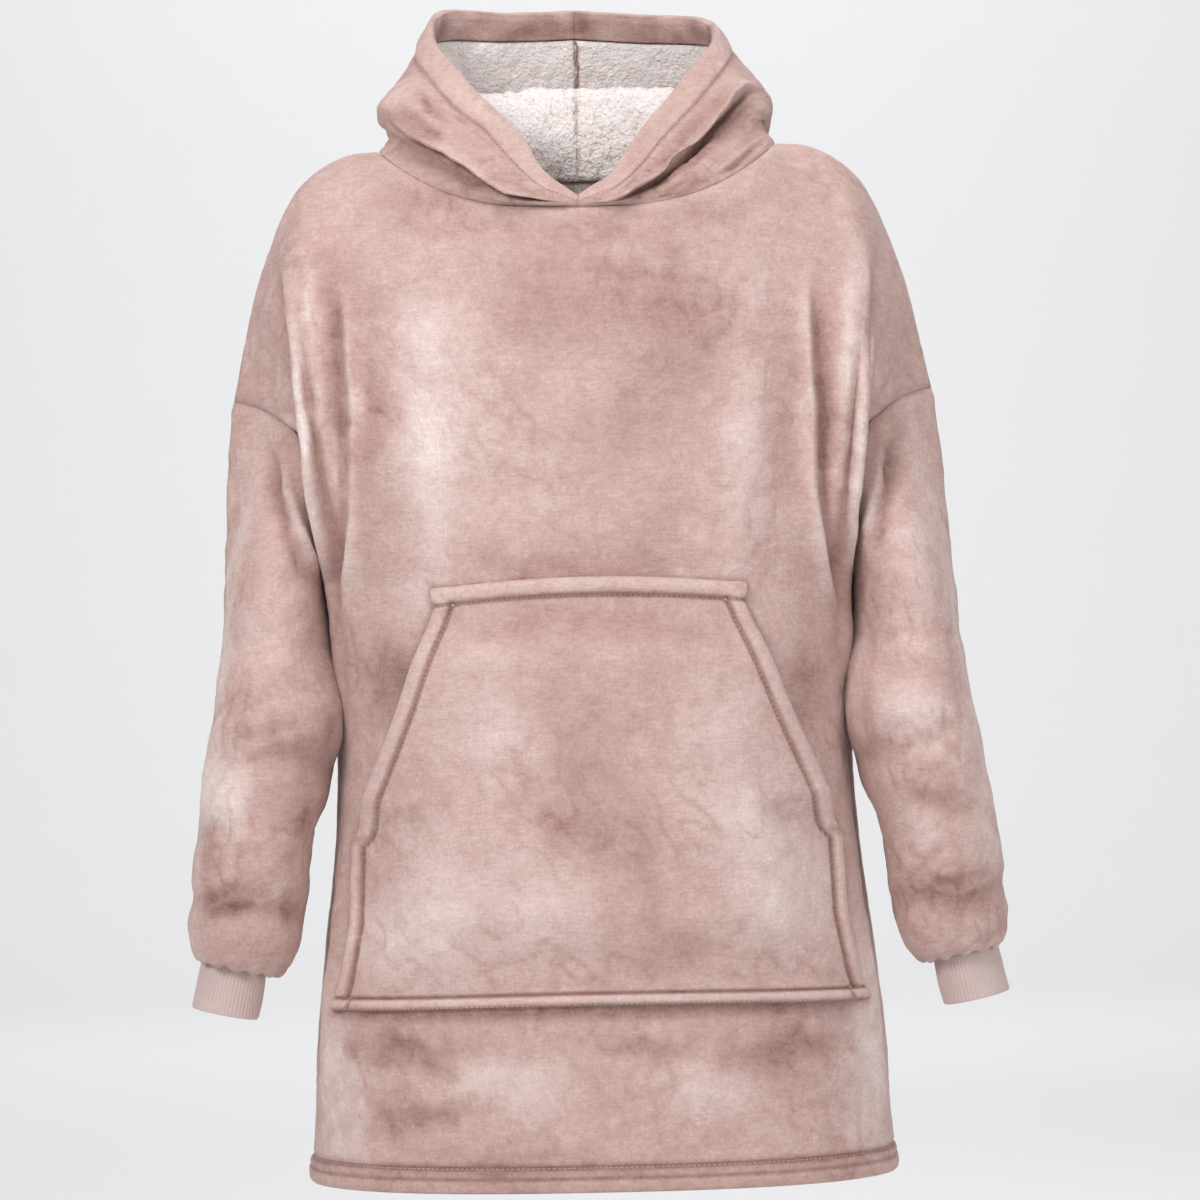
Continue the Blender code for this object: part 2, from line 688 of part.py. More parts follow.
def hood_grid(stations, side, shares, band):
    """The hood's bare outer face and its normals. The end sections keep to their own planes."""
    face = np.array([hood_section(at, side, shares, band) for at in stations])
    n = side * np.cross(np.gradient(face, axis=0), np.gradient(face, axis=1))
    n[[0, -1], :, 0] *= (np.array([stations[0], 180 - stations[-1]]) > 1)[:, None]
    n[:, 0, 2] = 0
    return face, n / np.linalg.norm(n, axis=-1, keepdims=True)


def hood_half(name, lining_name, side):
    edge = np.degrees(HALF_SEAM / 100)
    share = np.linspace(0, 1, HOOD_STATIONS)
    wave = np.sin(2 * np.pi * (share - CORNER_SHARE)) + np.sin(2 * np.pi * CORNER_SHARE)
    stations = edge + (180 - 2 * edge) * (share - CORNER_CROWDING * wave)
    shares = np.linspace(0, 1, HOOD_PROFILE_STEPS)
    face, out = hood_grid(stations, side, shares, column(HOOD_BAND_ROWS, "share"))
    proud = np.concatenate([0 * shares, column(HOOD_BAND_ROWS, "proud")]) * HOOD_BAND_PUFF
    proud[len(shares) - 1] = -STITCH_DIP
    soft = np.clip(stations / THROAT_LENGTH, 0, 1)[:, None]
    at_throat, elsewhere = (HOOD_BAND_THICKNESS[k] for k in ("throat", "elsewhere"))
    thick = at_throat + (elsewhere - at_throat) * soft
    on_band = np.concatenate([0 * shares, column(HOOD_BAND_ROWS, "thick")])
    depth = SHELL_CLOTH + on_band * (thick - SHELL_CLOTH)
    outer = face + out * (proud * soft)[..., None]
    mesh_wall(name, outer, face - out * depth[..., None], FLEECE)
    keep = stations > LINING_STARTS_AT
    last = len(shares) - 1
    lining, lining_out = face[keep, : last + 1], out[keep, : last + 1]
    lining[:, last] += LINING_CUT_SHORT * (lining[:, last - 1] - lining[:, last])
    near = SHELL_CLOTH + LINING_GAP
    far = near + LINING_CLOTH
    mesh_wall(lining_name, lining - lining_out * near, lining - lining_out * far, SHERPA)


# The pocket


def front_at(x, z):
    """The place across the front panel whose bare face has this x at this height."""
    places = np.linspace(0, 1, 300)
    across = np.empty_like(x)
    for j in range(x.shape[0]):
        line = torso(places, np.full_like(places, z[j, 0]), FRONT)
        across[j] = np.interp(np.abs(x[j]), line[:, 0], places)
    return across


def pocket():
    top, bottom = POCKET_EDGE[0]["z"], POCKET_EDGE[-1]["z"]
    edge = np.array(POCKET_EDGE_STEPS)
    middle = np.linspace(0, 1, POCKET_STEPS_DOWN + 1)[1:-1]
    length = top - bottom - 2 * edge[-1]
    rows = np.concatenate([top - edge, top - edge[-1] - length * middle, (bottom + edge)[::-1]])
    half = np.interp(rows, column(POCKET_EDGE, "z")[::-1], column(POCKET_EDGE, "half_width")[::-1])
    shares = np.linspace(0, 1, POCKET_STEPS_ACROSS + 1)[:-1]
    shares = shares + 0.35 * shares * (1 - shares)
    right = np.concatenate([shares * (half - edge[-1])[:, None], half[:, None] - edge[::-1]], axis=1)
    x = np.concatenate([-right[:, :0:-1], right], axis=1)
    z = np.broadcast_to(rows[:, None], x.shape)
    across = front_at(x, z)
    down = 1 + (UNDERARM_Z - z) / (UNDERARM_Z - HEM_Z)
    face = panel(across, down, FRONT)
    out = FRONT * normals(lambda p, q: panel(p, q, FRONT), across, down, (0, 1), (0, 2))
    for grid in (face, out):
        grid[..., 0] *= np.sign(x)
    to_side = half[:, None] - np.abs(x)
    to_end = np.minimum(top - z, z - bottom)
    mouth_top, mouth_bottom = POCKET_MOUTH_TOP_Z, POCKET_MOUTH_BOTTOM_Z
    open_here = ramp((mouth_top - z) / POCKET_MOUTH_FADE) * ramp((z - mouth_bottom) / POCKET_MOUTH_FADE)
    at_mouth = 0.7 + 0.3 * ramp(to_side / POCKET_RISE["mouth"])
    sewn_down = ramp((to_side - POCKET_BAND) / POCKET_RISE["side"])
    side_lift = open_here * at_mouth + (1 - open_here) * sewn_down
    below_top = ramp((top - POCKET_BAND - z) / POCKET_RISE["top"])
    end_lift = below_top * ramp((z - bottom - POCKET_BAND) / POCKET_RISE["bottom"])
    room = POCKET_SEAT + POCKET_ROOM * end_lift * side_lift
    to_edge = np.minimum(to_side, to_end)
    middle_of_band = POCKET_BAND / 2
    puff = np.clip(1 - ((to_edge - middle_of_band) / middle_of_band) ** 4, 0, 1) * POCKET_BAND_PUFF
    dip = STITCH_DIP * bell((to_edge - POCKET_BAND) / 2)
    outer = face + out * (room + SHELL_CLOTH + puff - dip)[..., None]
    mesh_wall("pocket", outer, face + out * room[..., None], FLEECE)


def main():
    clear_scene()
    body_panel("front_panel", FRONT)
    body_panel("back_panel", BACK)
    pocket()
    for name, side in (("left", LEFT), ("right", RIGHT)):
        sleeve("sleeve_" + name, side)
        cuff("cuff_" + name, side)
        hood_half("hood_" + name, "hood_lining_" + name, side)


main()
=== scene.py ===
"""Looks of the wearable blanket hoodie: fleece outside, sherpa inside, knitted cuffs.

Every piece is worked out again from the CAD's own tables, in millimetres, at a finer step.
The cloth's creases, bands, stitches and brushed patches are then laid over it, with painted shade in its
troughs, grooves and crevices and painted highlights on its ridges.
"""

import bpy
import numpy as np
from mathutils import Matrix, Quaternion


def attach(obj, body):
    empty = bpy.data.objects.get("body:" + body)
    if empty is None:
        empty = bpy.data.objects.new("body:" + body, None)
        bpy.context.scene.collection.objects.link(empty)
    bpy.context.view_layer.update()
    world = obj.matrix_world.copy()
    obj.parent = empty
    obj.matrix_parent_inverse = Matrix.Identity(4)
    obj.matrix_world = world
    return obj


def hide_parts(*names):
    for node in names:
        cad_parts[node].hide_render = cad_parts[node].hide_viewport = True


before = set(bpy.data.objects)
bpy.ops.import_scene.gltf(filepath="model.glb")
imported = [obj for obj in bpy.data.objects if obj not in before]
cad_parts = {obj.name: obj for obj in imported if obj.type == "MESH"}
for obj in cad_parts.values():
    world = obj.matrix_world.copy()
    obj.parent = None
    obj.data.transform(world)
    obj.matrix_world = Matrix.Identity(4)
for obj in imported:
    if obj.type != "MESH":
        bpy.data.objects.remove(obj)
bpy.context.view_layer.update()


def named(names, *values):
    """A table, as one dict of named numbers for each row."""
    return [dict(zip(names.split(), row)) for row in values]


MM = 0.001
FRONT, BACK = -1, 1
LEFT, RIGHT = -1, 1

# Cloth and seams
SHELL_CLOTH = 3.0
LINING_CLOTH = 3.6
CUFF_CLOTH = 2.6
HALF_SEAM = 0.15
ARMHOLE_GAP = 0.45
LINING_GAP = 0.5

# The garment hangs a little to its right at the shoulders
LEAN = -4.5
LEAN_FROM_Z = -620.0
LEAN_TO_Z = -160.0

# Neckline, half of it: width, depth in front and behind, heights
NECK_HALF_WIDTH = 175.0
NECK_MID_Y = 5.0
NECK_DEPTH = {FRONT: 117.0, BACK: 75.0}
NECK_CENTRE_Z = {FRONT: -57.0, BACK: -22.0}
NECK_POINT_Z = 3.0

# The shoulder line, from the neck point out and down to the top of the armhole
SHOULDER = named(
    "x y z",
    (175, 5, 3),
    (198, 6, 1),
    (222, 7, -9),
    (244, 7, -26),
    (260, 6, -50),
    (273, 5, -80),
    (286, 3, -116),
    (298, 1, -166),
    (308, 0, -214),
)

# Where a column of the cloth leaves the top edge and where it comes down onto the torso.
# across: 0 at the centre, 1 at the armhole; the y values point away from the body's middle.
NECK_POINT_ACROSS = 0.6
HANG = named(
    "across leave arrive",
    (0, (0, 28, -95), (0, -10, 110)),
    (0.3, (5, 45, -80), (0, -8, 110)),
    (0.5, (38, 48, -45), (12, 0, 110)),
    (0.6, (56, 68, -12), (18, 10, 108)),
    (0.7, (12, 96, -16), (20, 26, 98)),
    (0.82, (-26, 109, -34), (9, 62, 74)),
    (0.92, (-56, 98, -26), (-1, 80, 76)),
    (1, (-76, 80, -18), (-6, 92, 86)),
)

# Level sections of the torso below the armholes, at so many mm down
UNDERARM_Z = -376.0
HEM_Z = -897.0
TORSO = named(
    "down half_width front back",
    (376, 231, 158, 140),
    (460, 227, 166, 146),
    (554, 226, 172, 151),
    (640, 233, 178, 156),
    (704, 241, 182, 160),
    (792, 250, 186, 166),
    (860, 253, 188, 170),
    (897, 258, 191, 174),
)
TORSO_POWER = 2.5
MIDDLING_SECTION = (235.0, 170.0)

# Folds that run down the panels. down: 0 at the top edge, 1 at the underarm, 2 at the hem
FOLD = "across width height start peak end"
FRONT_FOLDS = named(
    FOLD,
    (0.83, 0.045, 11, 0.22, 0.6, 1.35),
    (0.765, 0.03, -8, 0.2, 0.65, 1.3),
    (0.69, 0.032, 8.5, 0.18, 0.6, 1.3),
    (0.61, 0.04, -5.5, 0.22, 0.6, 1.2),
    (0.42, 0.06, 4, 0.3, 0.8, 1.3),
    (0.9, 0.04, -5, 1.05, 1.45, 2.05),
    (0.78, 0.06, 4, 1.1, 1.6, 2.2),
)
BACK_FOLDS = named(
    FOLD,
    (0.83, 0.045, 10, 0.25, 0.62, 1.45),
    (0.76, 0.032, -8, 0.25, 0.66, 1.4),
    (0.67, 0.034, 7.5, 0.22, 0.62, 1.35),
    (0.3, 0.07, 6, 0.55, 1.3, 2.3),
    (0.48, 0.06, -6, 0.6, 1.4, 2.3),
    (0.64, 0.06, 6, 1, 1.6, 2.4),
)

# Hem of the body: a turned edge with one row of stitches, and a pressed line below them
HEM_BAND = 21.0
HEM_PUFF = 1.6
# Heights above the hem of its lower line and of the panels' last rows
HEM_LINE = 12.5
HEM_ROWS = [27, 24, 22.5, 21, 19.5, 18, 15, 12, 9, 6, 4, 2.2, 1, 0.3, 0]
STITCH_DIP = 0.9
STITCH = dict(long=3.0, pitch=4.4, thick=0.42, lift=0.32)
THREAD_PROUD = 0.15

# Sleeve sections, from just under the armhole to the gathered end
SLEEVE = named(
    "z inner outer y depth tilt",
    (-430, 232, 323, -26, 77, 1),
    (-490, 222, 331, -54, 75, 2),
    (-552, 231, 341, -60, 71, 4),
    (-587, 244, 346, -61, 67, 6),
    (-622, 250, 350.5, -61, 63, 7),
    (-657, 254.5, 354.5, -60, 59, 9),
    (-684, 261.5, 356.5, -59, 54, 10),
    (-702, 272, 353.5, -58, 46, 11),
    (-708.5, 281.5, 348.5, -57, 36, 12),
    (-702.5, 287.6, 344.8, -57, 28.6, 12),
)
LAST_RING = len(SLEEVE) - 1
SLEEVE_POWER = 2.15
SLEEVE_CREASES = named(
    "z width depth towards spread slant",
    (-470, 16, 4, 70, 75, 0.25),
    (-528, 13, 5, 120, 80, -0.2),
    (-585, 12, 3.5, 60, 70, 0.22),
    (-655, 11, 5.5, 80, 110, -0.1),
    (-500, 15, 5, 265, 80, 0.2),
    (-600, 13, 5, 250, 85, -0.18),
)
GATHERS = 13
GATHER_DEPTH = 1.6

# Cuff: a knitted tube that leans out with the sleeve's end
CUFF_TOP = (316.0, -57.0, -700.0)
CUFF_BOTTOM = (326.5, -60.0, -748.0)
CUFF_RADII = [27.2, 28.4, 28.6]
CUFF_TILT = 12.0

# Pocket: half widths from its top edge down to its bottom edge
POCKET_EDGE = named(
    "z half_width",
    (-384, 133),
    (-399, 131),
    (-495, 165),
    (-592, 203),
    (-604, 208),
    (-670, 211),
    (-722, 221),
    (-746, 229),
)
POCKET_TOP_Z = -384.0
POCKET_BOTTOM_Z = -746.0
POCKET_MOUTH_TOP_Z = -399.0
POCKET_MOUTH_BOTTOM_Z = -592.0
POCKET_TACK_X = 112.0
POCKET_BAND = 15.0
POCKET_LOW_BAND = 11.5
POCKET_BAND_PUFF = 3.8
POCKET_ROOM = 13.0
POCKET_SEAT = 0.8

# Hood sections, going round from the throat (0 degrees) to the middle of the back (180).
# Each pair is (distance out from the neck's middle, height).
HOOD = {
    LEFT: named(
        "at base ridge pouch belly stitch rim",
        (0, (112.3, -55.6), (112.5, -55), (112.7, -54.3), (112.8, -53.6), (112.8, -53), (111, -47.5)),
        (5, (113.5, -55.5), (114.3, -54), (114.6, -52.3), (114.3, -50.6), (113.2, -48.8), (107.5, -40.5)),
        (16, (117.5, -54.5), (119, -51.5), (119, -48), (117.5, -44), (113.5, -39.5), (99, -26)),
        (30, (123, -52), (123, -47), (126, -40), (121, -30), (107, -18), (86, 2)),
        (50, (134, -33), (129, -25), (134, -14), (128, 2), (103, 14), (82, 26)),
        (72, (152, -11), (143, -3), (149, 8), (144, 23), (112, 38), (90, 50)),
        (91, (169, 9), (165, 17), (172, 26), (174, 42), (128, 66), (104, 74)),
        (110, (142, 19), (152, 34), (177, 22), (185, 42), (152, 91), (137, 110)),
        (130, (106, 16), (124, 50), (168, -38), (197, 8), (168, 110), (158, 136)),
        (155, (84, 12), (104, 57), (150, -86), (192, -20), (149, 112), (137, 136)),
        (180, (80, 10), (97, 58), (141, -100), (183, -28), (137, 113), (126, 137)),
    ),
    RIGHT: named(
        "at base ridge pouch belly stitch rim",
        (0, (112.3, -55.6), (112.5, -55), (112.7, -54.3), (112.8, -53.6), (112.8, -53), (111, -47.5)),
        (5, (113.3, -55.5), (114, -54), (114.2, -52.3), (114, -50.8), (113, -49), (107.5, -41)),
        (16, (116.5, -54.5), (117, -52), (116.8, -49), (115.5, -45.8), (112.5, -42), (98, -29)),
        (30, (119, -49), (115, -42), (114, -37), (111.5, -31.5), (104, -24), (84, -7)),
        (50, (130, -25), (111, -15), (109, -9), (105.5, -3), (97, 4), (77, 17)),
        (72, (149, -4), (128, 6), (126, 14), (121, 24), (104, 31), (83, 41)),
        (91, (166, 13), (158, 21), (158, 32), (152, 45), (123, 60), (101, 70)),
        (110, (146, 20), (152, 36), (178, 24), (187, 41), (149, 88), (133, 102)),
        (130, (106, 18), (125, 52), (172, -36), (206, 10), (166, 102), (154, 124)),
        (155, (84, 12), (104, 57), (150, -86), (192, -20), (147, 108), (135, 132)),
        (180, (80, 10), (97, 58), (141, -100), (183, -28), (137, 113), (126, 137)),
    ),
}
# The band round the hood's opening: 1 at its stitches, 2 at its rim
HOOD_BAND_THROAT = 4.4
HOOD_BAND_THICK = 8.6
HOOD_BAND_SHARES = [
    0.02, 0.05, 0.09, 0.14, 0.2, 0.27, 0.35, 0.43, 0.51, 0.59, 0.67, 0.75, 0.82, 0.88, 0.93, 0.97, 1.0,
]
HOOD_BAND_PROUD = [(1, -STITCH_DIP), (1.03, 0.2), (1.08, 0.8), (1.2, 1.2), (1.5, 1.44), (1.8, 1.08), (2, 0)]
HOOD_BAND_FILL = [(1, 0), (1.04, 1), (1.5, 1), (1.8, 0.92), (2, 0.55)]
THROAT_LENGTH = 22.0
LINING_STARTS_AT = 8.0

# Sections crowd towards the corner of the hood, this share of the way round
CORNER_SHARE = 0.66
CORNER_CROWDING = 0.045

# Creases and ridges, given one by one. On the body u is across and v up, both in mm.
LINE = "u0 v0 u1 v1 width height bow"
FRONT_LINES = named(
    LINE,
    (-206, -226, -154, -229, 2.2, -1.6, -3),
    (-229, -240, -206, -233, 2.2, -1.6, 1),
    (152, -231, 194, -227, 2.2, -1.6, 3),
    (202, -233, 226, -244, 2.2, -1.6, -1),
    (-226, -246, -208, -241, 2.2, -0.9, 1),
    (-228, -262, -207, -255, 2.5, -0.8, 1),
    (-222, -205, -206, -199, 2.5, -0.8, 1),
    (-190, -175, -188, -340, 12, -2.2, 6),
    (172, -165, 178, -345, 12, -2, -6),
    (-219, -195, -215, -360, 9, -2.4, 0),
    (214, -180, 211, -350, 8, -2.4, 0),
    (-225, -400, -226, -480, 16, 2, 0),
    (225, -400, 226, -480, 16, 2, 0),
    (-134, -120, -128, -345, 24, 1.6, 4),
    (160, -95, 126, -345, 22, 1.6, -5),
    (-30, -85, 60, -150, 20, -1.4, 10),
    (-96, -345, -62, -378, 9, -1.2, 4),
    (104, -352, 84, -378, 9, -1, -4),
    (-178, -420, -158, -500, 9, -1.4, 5),
    (-205, -455, -178, -468, 6, -0.9, 2),
    (182, -425, 190, -500, 9, -1.2, -5),
    (176, -470, 206, -462, 6, -0.8, 2),
    (-160, -60, -120, -95, 14, -1.2, 6),
    (150, -70, 110, -110, 14, -1.2, -6),
    (-205, -795, -110, -806, 9, -0.9, 5),
    (110, -830, 215, -800, 9, -0.9, -5),
    (130, -790, 146, -780, 2.2, -0.9, 1),
    (-60, -772, -56, -862, 14, 1.3, 4),
    (60, -775, 70, -862, 16, 1.3, -4),
)
BACK_LINES = named(
    LINE,
    (-212, -232, -150, -238, 1.9, -1.4, -3),
    (146, -236, 206, -230, 1.9, -1.4, 3),
    (-60, -236, 40, -240, 2, -1.2, 2),
    (-186, -180, -182, -350, 13, -1.6, 6),
    (176, -170, 182, -350, 13, -1.5, -6),
    (-120, -120, -126, -380, 26, 1.7, 6),
    (120, -120, 132, -380, 26, 1.7, -6),
    (-20, -60, 10, -300, 26, -1.5, 9),
    (-90, -430, -70, -700, 22, -1.8, 9),
    (20, -470, 34, -760, 24, 1.7, -8),
    (120, -450, 110, -720, 20, -1.8, 8),
    (-170, -520, -178, -780, 18, 1.6, -6),
    (-150, -560, -70, -566, 2, -1.2, 3),
    (60, -566, 150, -560, 2, -1.2, -3),
    (-200, -815, -90, -800, 10, -0.9, 5),
)
POCKET_LINES = named(
    LINE,
    (-6, -590, 26, -700, 7, -0.9, -6),
    (-48, -560, 30, -612, 10, -1, -8),
    (-160, -640, -120, -652, 3, -0.5, 2),
    (-150, -600, -110, -740, 26, 1.2, 5),
    (110, -520, 150, -720, 26, 1.2, -5),
    (-100, -440, -120, -560, 20, -0.9, 5),
    (60, -430, 80, -560, 22, -0.9, -5),
    (10, -712, 60, -724, 8, -1, 3),
)

# On the sleeves u is the turn, 90 in front and 180 under the arm, times 0.9.
SLEEVE_LINES = {
    LEFT: named(
        LINE,
        (34, -262, 52, -300, 14, -3, 0),
        (22, -300, 84, -420, 17, 2, 8),
        (158, -370, 152, -570, 17, 5, 0),
        (48, -532, 122, -520, 4, -1.6, 5),
        (60, -500, 110, -497, 14, 1.3, 4),
        (30, -660, 112, -640, 4, -1.8, -5),
        (112, -642, 138, -682, 5, -1.7, 3),
        (20, -590, 40, -640, 6, -1.2, 4),
        (120, -566, 134, -590, 6, -1.4, 2),
        (126, -500, 140, -530, 7, -1.4, 3),
        (22, -520, 30, -585, 9, 1.4, -3),
        (84, -560, 92, -640, 20, 1.2, 4),
        (200, -470, 270, -500, 6, -1.8, -6),
        (195, -560, 280, -540, 6, -1.9, 6),
        (205, -640, 280, -655, 5, -1.8, -4),
        (230, -330, 260, -430, 16, -2, 8),
    ),
    RIGHT: named(
        LINE,
        (34, -262, 52, -300, 14, -3, 0),
        (22, -300, 84, -420, 17, 2, 8),
        (158, -370, 152, -570, 17, 5, 0),
        (46, -505, 120, -528, 4, -1.6, -5),
        (40, -560, 118, -548, 5, -1.5, 5),
        (28, -636, 110, -652, 4, -1.8, 5),
        (112, -652, 138, -680, 5, -1.5, 3),
        (18, -600, 44, -650, 6, -1.2, 4),
        (118, -480, 136, -520, 7, -1.5, 3),
        (76, -450, 84, -540, 20, 1.2, 4),
        (200, -480, 275, -505, 6, -1.8, -6),
        (195, -565, 280, -548, 6, -1.9, 6),
        (205, -645, 280, -650, 5, -1.8, -4),
        (226, -330, 262, -430, 16, -2, 8),
    ),
}

# On the hood u is the place round the neck in degrees and v the share up the cloth, in per cent.
HOOD_LINES = {
    LEFT: named(
        LINE,
        (58, 52, 84, 64, 5, -2.2, 3),
        (70, 40, 92, 46, 6, -1.6, -3),
        (26, 34, 60, 30, 6, -1.4, 3),
        (20, 74, 70, 82, 7, 1.3, 3),
        (96, 30, 112, 70, 7, -2, 4),
        (128, 20, 140, 66, 8, -2.2, 4),
        (160, 16, 156, 60, 8, -1.8, -3),
    ),
    RIGHT: named(
        LINE,
        (40, 60, 84, 66, 5, -1.8, 3),
        (66, 20, 86, 25, 6, -1.2, -3),
        (82, 36, 116, 34, 13, 6, 0),
        (30, 34, 60, 36, 6, -1.2, 3),
        (100, 40, 114, 76, 9, -1.2, 4),
        (130, 20, 142, 66, 8, -2.2, 4),
        (162, 16, 158, 60, 8, -1.8, -3),
    ),
}

# Steep-sided folds along short paths, with a ridge on the left of the way along
STEP_SCALE = 1.65
STEP = "width height path"
FRONT_STEPS = named(
    STEP,
    (4.5, 4, [(-262, -75), (-256, -140), (-250, -206), (-245, -248), (-242, -300), (-234, -360)]),
    (5, 6, [(-212, -105), (-206, -160), (-205, -195), (-202, -238), (-205, -320), (-219, -430)]),
    (4.5, -4, [(258, -70), (252, -130), (247, -185), (246, -228), (242, -280), (232, -366)]),
    (5, -6, [(202, -105), (199, -160), (201, -228), (200, -300), (206, -358), (220, -430)]),
)
BACK_STEPS = named(
    STEP,
    (5, 3.2, [(-204, -150), (-203, -228), (-206, -300), (-214, -380)]),
    (5, -3.2, [(202, -150), (204, -228), (203, -300), (212, -390)]),
    (9, 1.6, [(-60, -430), (-72, -540), (-60, -640)]),
    (9, -1.6, [(70, -440), (84, -560), (74, -680)]),
)
SLEEVE_STEPS = {
    LEFT: named(
        STEP,
        (5.5, 7, [(22, -222), (38, -262), (56, -298), (76, -328), (102, -354), (134, -380)]),
        (5, -2, [(40, -505), (70, -512), (112, -500)]),
        (4.5, -2.2, [(30, -655), (70, -640), (112, -650)]),
        (6, 2.2, [(200, -440), (235, -480), (275, -500)]),
        (6, -2.2, [(205, -600), (240, -585), (285, -600)]),
    ),
    RIGHT: named(
        STEP,
        (5.5, 7, [(24, -220), (42, -262), (62, -300), (84, -332), (116, -366)]),
        (5, -2, [(44, -520), (80, -508), (116, -522)]),
        (4.5, -2.2, [(30, -640), (72, -650), (112, -642)]),
        (6, 2.2, [(200, -450), (235, -485), (275, -505)]),
        (6, -2.2, [(205, -605), (240, -590), (285, -602)]),
    ),
}
HOOD_STEPS = {
    LEFT: named(
        STEP,
        (3.4, 7.5, [(12, 44), (20, 33), (28, 27), (37, 31), (46, 38), (56, 43), (69, 43), (84, 34)]),
        (3, 1.8, [(64, 86), (74, 80), (84, 84)]),
        (5, 2.2, [(118, 30), (134, 44), (156, 40)]),
    ),
    RIGHT: named(
        STEP,
        (3.6, 9.5, [(12, 20), (18, 30), (26, 44), (43, 57), (61, 62), (77, 66), (92, 68), (106, 70)]),
        (3.2, 1.8, [(58, 6), (67, 10), (76, 13), (84, 8)]),
        (5, 2.2, [(118, 34), (134, 46), (156, 42)]),
    ),
}

# Brushed patches of the pile, given one by one in the same measures, with painted shade and painted
# highlights among them: painted shade in fold troughs, under the hood's edge and band, round the pocket and
# where the sleeves meet the body; painted highlights along fold ridges and at the sides
PATCH = "u v wide tall tilt tone"
FRONT_NAP_AND_SHADE = named(
    PATCH,
    (-128, -215, 40, 100, -2, 0.26),
    (-143, -165, 22, 34, 0, 0.3),
    (-136, -262, 24, 52, 0, 0.34),
    (-124, -330, 30, 26, 20, 0.22),
    (138, -215, 26, 110, 9, 0.14),
    (128, -280, 20, 50, 4, 0.18),
    (150, -130, 24, 26, 0, 0.22),
    (-96, -190, 34, 60, 16, 0.16),
    (-184, -225, 13, 80, -4, -0.24),
    (178, -225, 13, 85, 2, -0.18),
    (-20, -135, 62, 42, 0, -0.38),
    (86, -160, 42, 62, 10, -0.5),
    (40, -250, 56, 34, 0, -0.25),
    (-60, -300, 44, 56, 0, 0.22),
    (-6, -372, 95, 16, 0, -0.45),
    (62, -330, 30, 30, 0, -0.25),
    (-128, -52, 48, 16, -25, -0.42),
    (110, -62, 60, 16, 20, -0.38),
    (0, -80, 70, 12, 0, -0.25),
    (-215, -110, 22, 60, 8, -0.22),
    (-246, -230, 9, 150, 0, 0.45),
    (236, -230, 9, 150, 0, 0.42),
    (-204, -260, 8, 110, 0, 0.35),
    (196, -260, 8, 110, 0, 0.35),
    (-222, -270, 11, 120, 0, -0.28),
    (214, -280, 11, 120, 0, -0.28),
    (-176, -470, 18, 42, 14, -0.68),
    (184, -480, 16, 44, -12, -0.57),
    (-112, -392, 46, 22, 0, 0.41),
    (112, -396, 36, 26, 0, 0.38),
    (-160, -778, 42, 14, -8, -0.85),
    (-150, -832, 52, 14, 4, -0.7),
    (150, -786, 46, 20, 8, -0.85),
    (40, -772, 46, 10, 0, -0.54),
    (-82, -806, 46, 20, 0, 0.47),
    (88, -806, 34, 24, 0, 0.47),
    (-225, -810, 18, 70, 0, 0.61),
    (232, -790, 18, 90, 0, 0.61),
    (-60, -868, 110, 9, 0, -0.38),
)
BACK_NAP_AND_SHADE = named(
    PATCH,
    (-126, -240, 28, 120, -3, 0.7),
    (128, -230, 26, 125, 4, 0.7),
    (0, -160, 70, 60, 0, -0.35),
    (-176, -260, 18, 90, 0, -0.45),
    (176, -260, 18, 90, 0, -0.45),
    (10, -340, 60, 60, 0, 0.3),
    (-90, -520, 46, 70, 10, -0.35),
    (90, -560, 50, 90, -8, 0.35),
    (-30, -660, 50, 60, 20, -0.35),
    (160, -700, 40, 60, 0, -0.35),
    (-170, -720, 40, 70, 0, 0.35),
    (30, -810, 90, 30, 0, -0.3),
)
POCKET_NAP_AND_SHADE = named(
    PATCH,
    (-4, -520, 36, 44, 10, -0.3),
    (4, -592, 50, 34, -22, -0.42),
    (40, -650, 14, 60, 0, -0.32),
    (72, -694, 24, 18, 0, -0.42),
    (-60, -420, 70, 16, 0, -0.41),
    (64, -424, 60, 14, 0, -0.34),
    (-92, -500, 34, 60, 12, 0.38),
    (92, -510, 34, 60, -12, 0.32),
    (-160, -680, 44, 40, 0, 0.57),
    (160, -640, 40, 60, 0, 0.54),
    (-40, -660, 36, 50, 0, 0.34),
    (120, -590, 30, 40, 0, 0.3),
    (-90, -640, 60, 80, 0, 0.22),
)
SLEEVE_NAP_AND_SHADE = {
    LEFT: named(
        PATCH,
        (22, -470, 16, 210, 0, 0.55),
        (58, -260, 20, 34, 20, -0.4),
        (102, -300, 14, 40, 20, 0.35),
        (54, -340, 18, 60, 15, -0.1),
        (112, -262, 20, 30, 0, 0.3),
        (96, -500, 26, 16, 0, -0.22),
        (52, -560, 22, 40, 10, 0.75),
        (132, -512, 9, 18, 0, -0.6),
        (128, -580, 9, 16, 0, -0.6),
        (64, -648, 38, 13, 6, -0.5),
        (124, -655, 9, 16, 0, -0.5),
        (40, -610, 12, 28, 0, -0.35),
        (80, -430, 32, 40, 0, 0.2),
        (220, -520, 40, 70, 10, -0.45),
        (250, -420, 34, 70, 0, 0.4),
        (230, -630, 44, 30, 0, 0.35),
    ),
    RIGHT: named(
        PATCH,
        (22, -450, 16, 210, 0, 0.45),
        (56, -262, 22, 40, 20, -0.5),
        (100, -300, 14, 40, 20, 0.35),
        (56, -360, 20, 60, 12, 0.3),
        (116, -270, 18, 36, 0, 0.45),
        (70, -566, 30, 18, 0, -0.35),
        (80, -508, 34, 38, 0, 0.55),
        (44, -600, 18, 40, 0, 0.55),
        (100, -600, 18, 30, 0, 0.4),
        (74, -655, 40, 14, 0, -0.5),
        (80, -440, 30, 40, 0, 0.22),
        (220, -520, 40, 70, 10, -0.45),
        (250, -420, 34, 70, 0, 0.4),
        (230, -630, 44, 30, 0, 0.35),
    ),
}
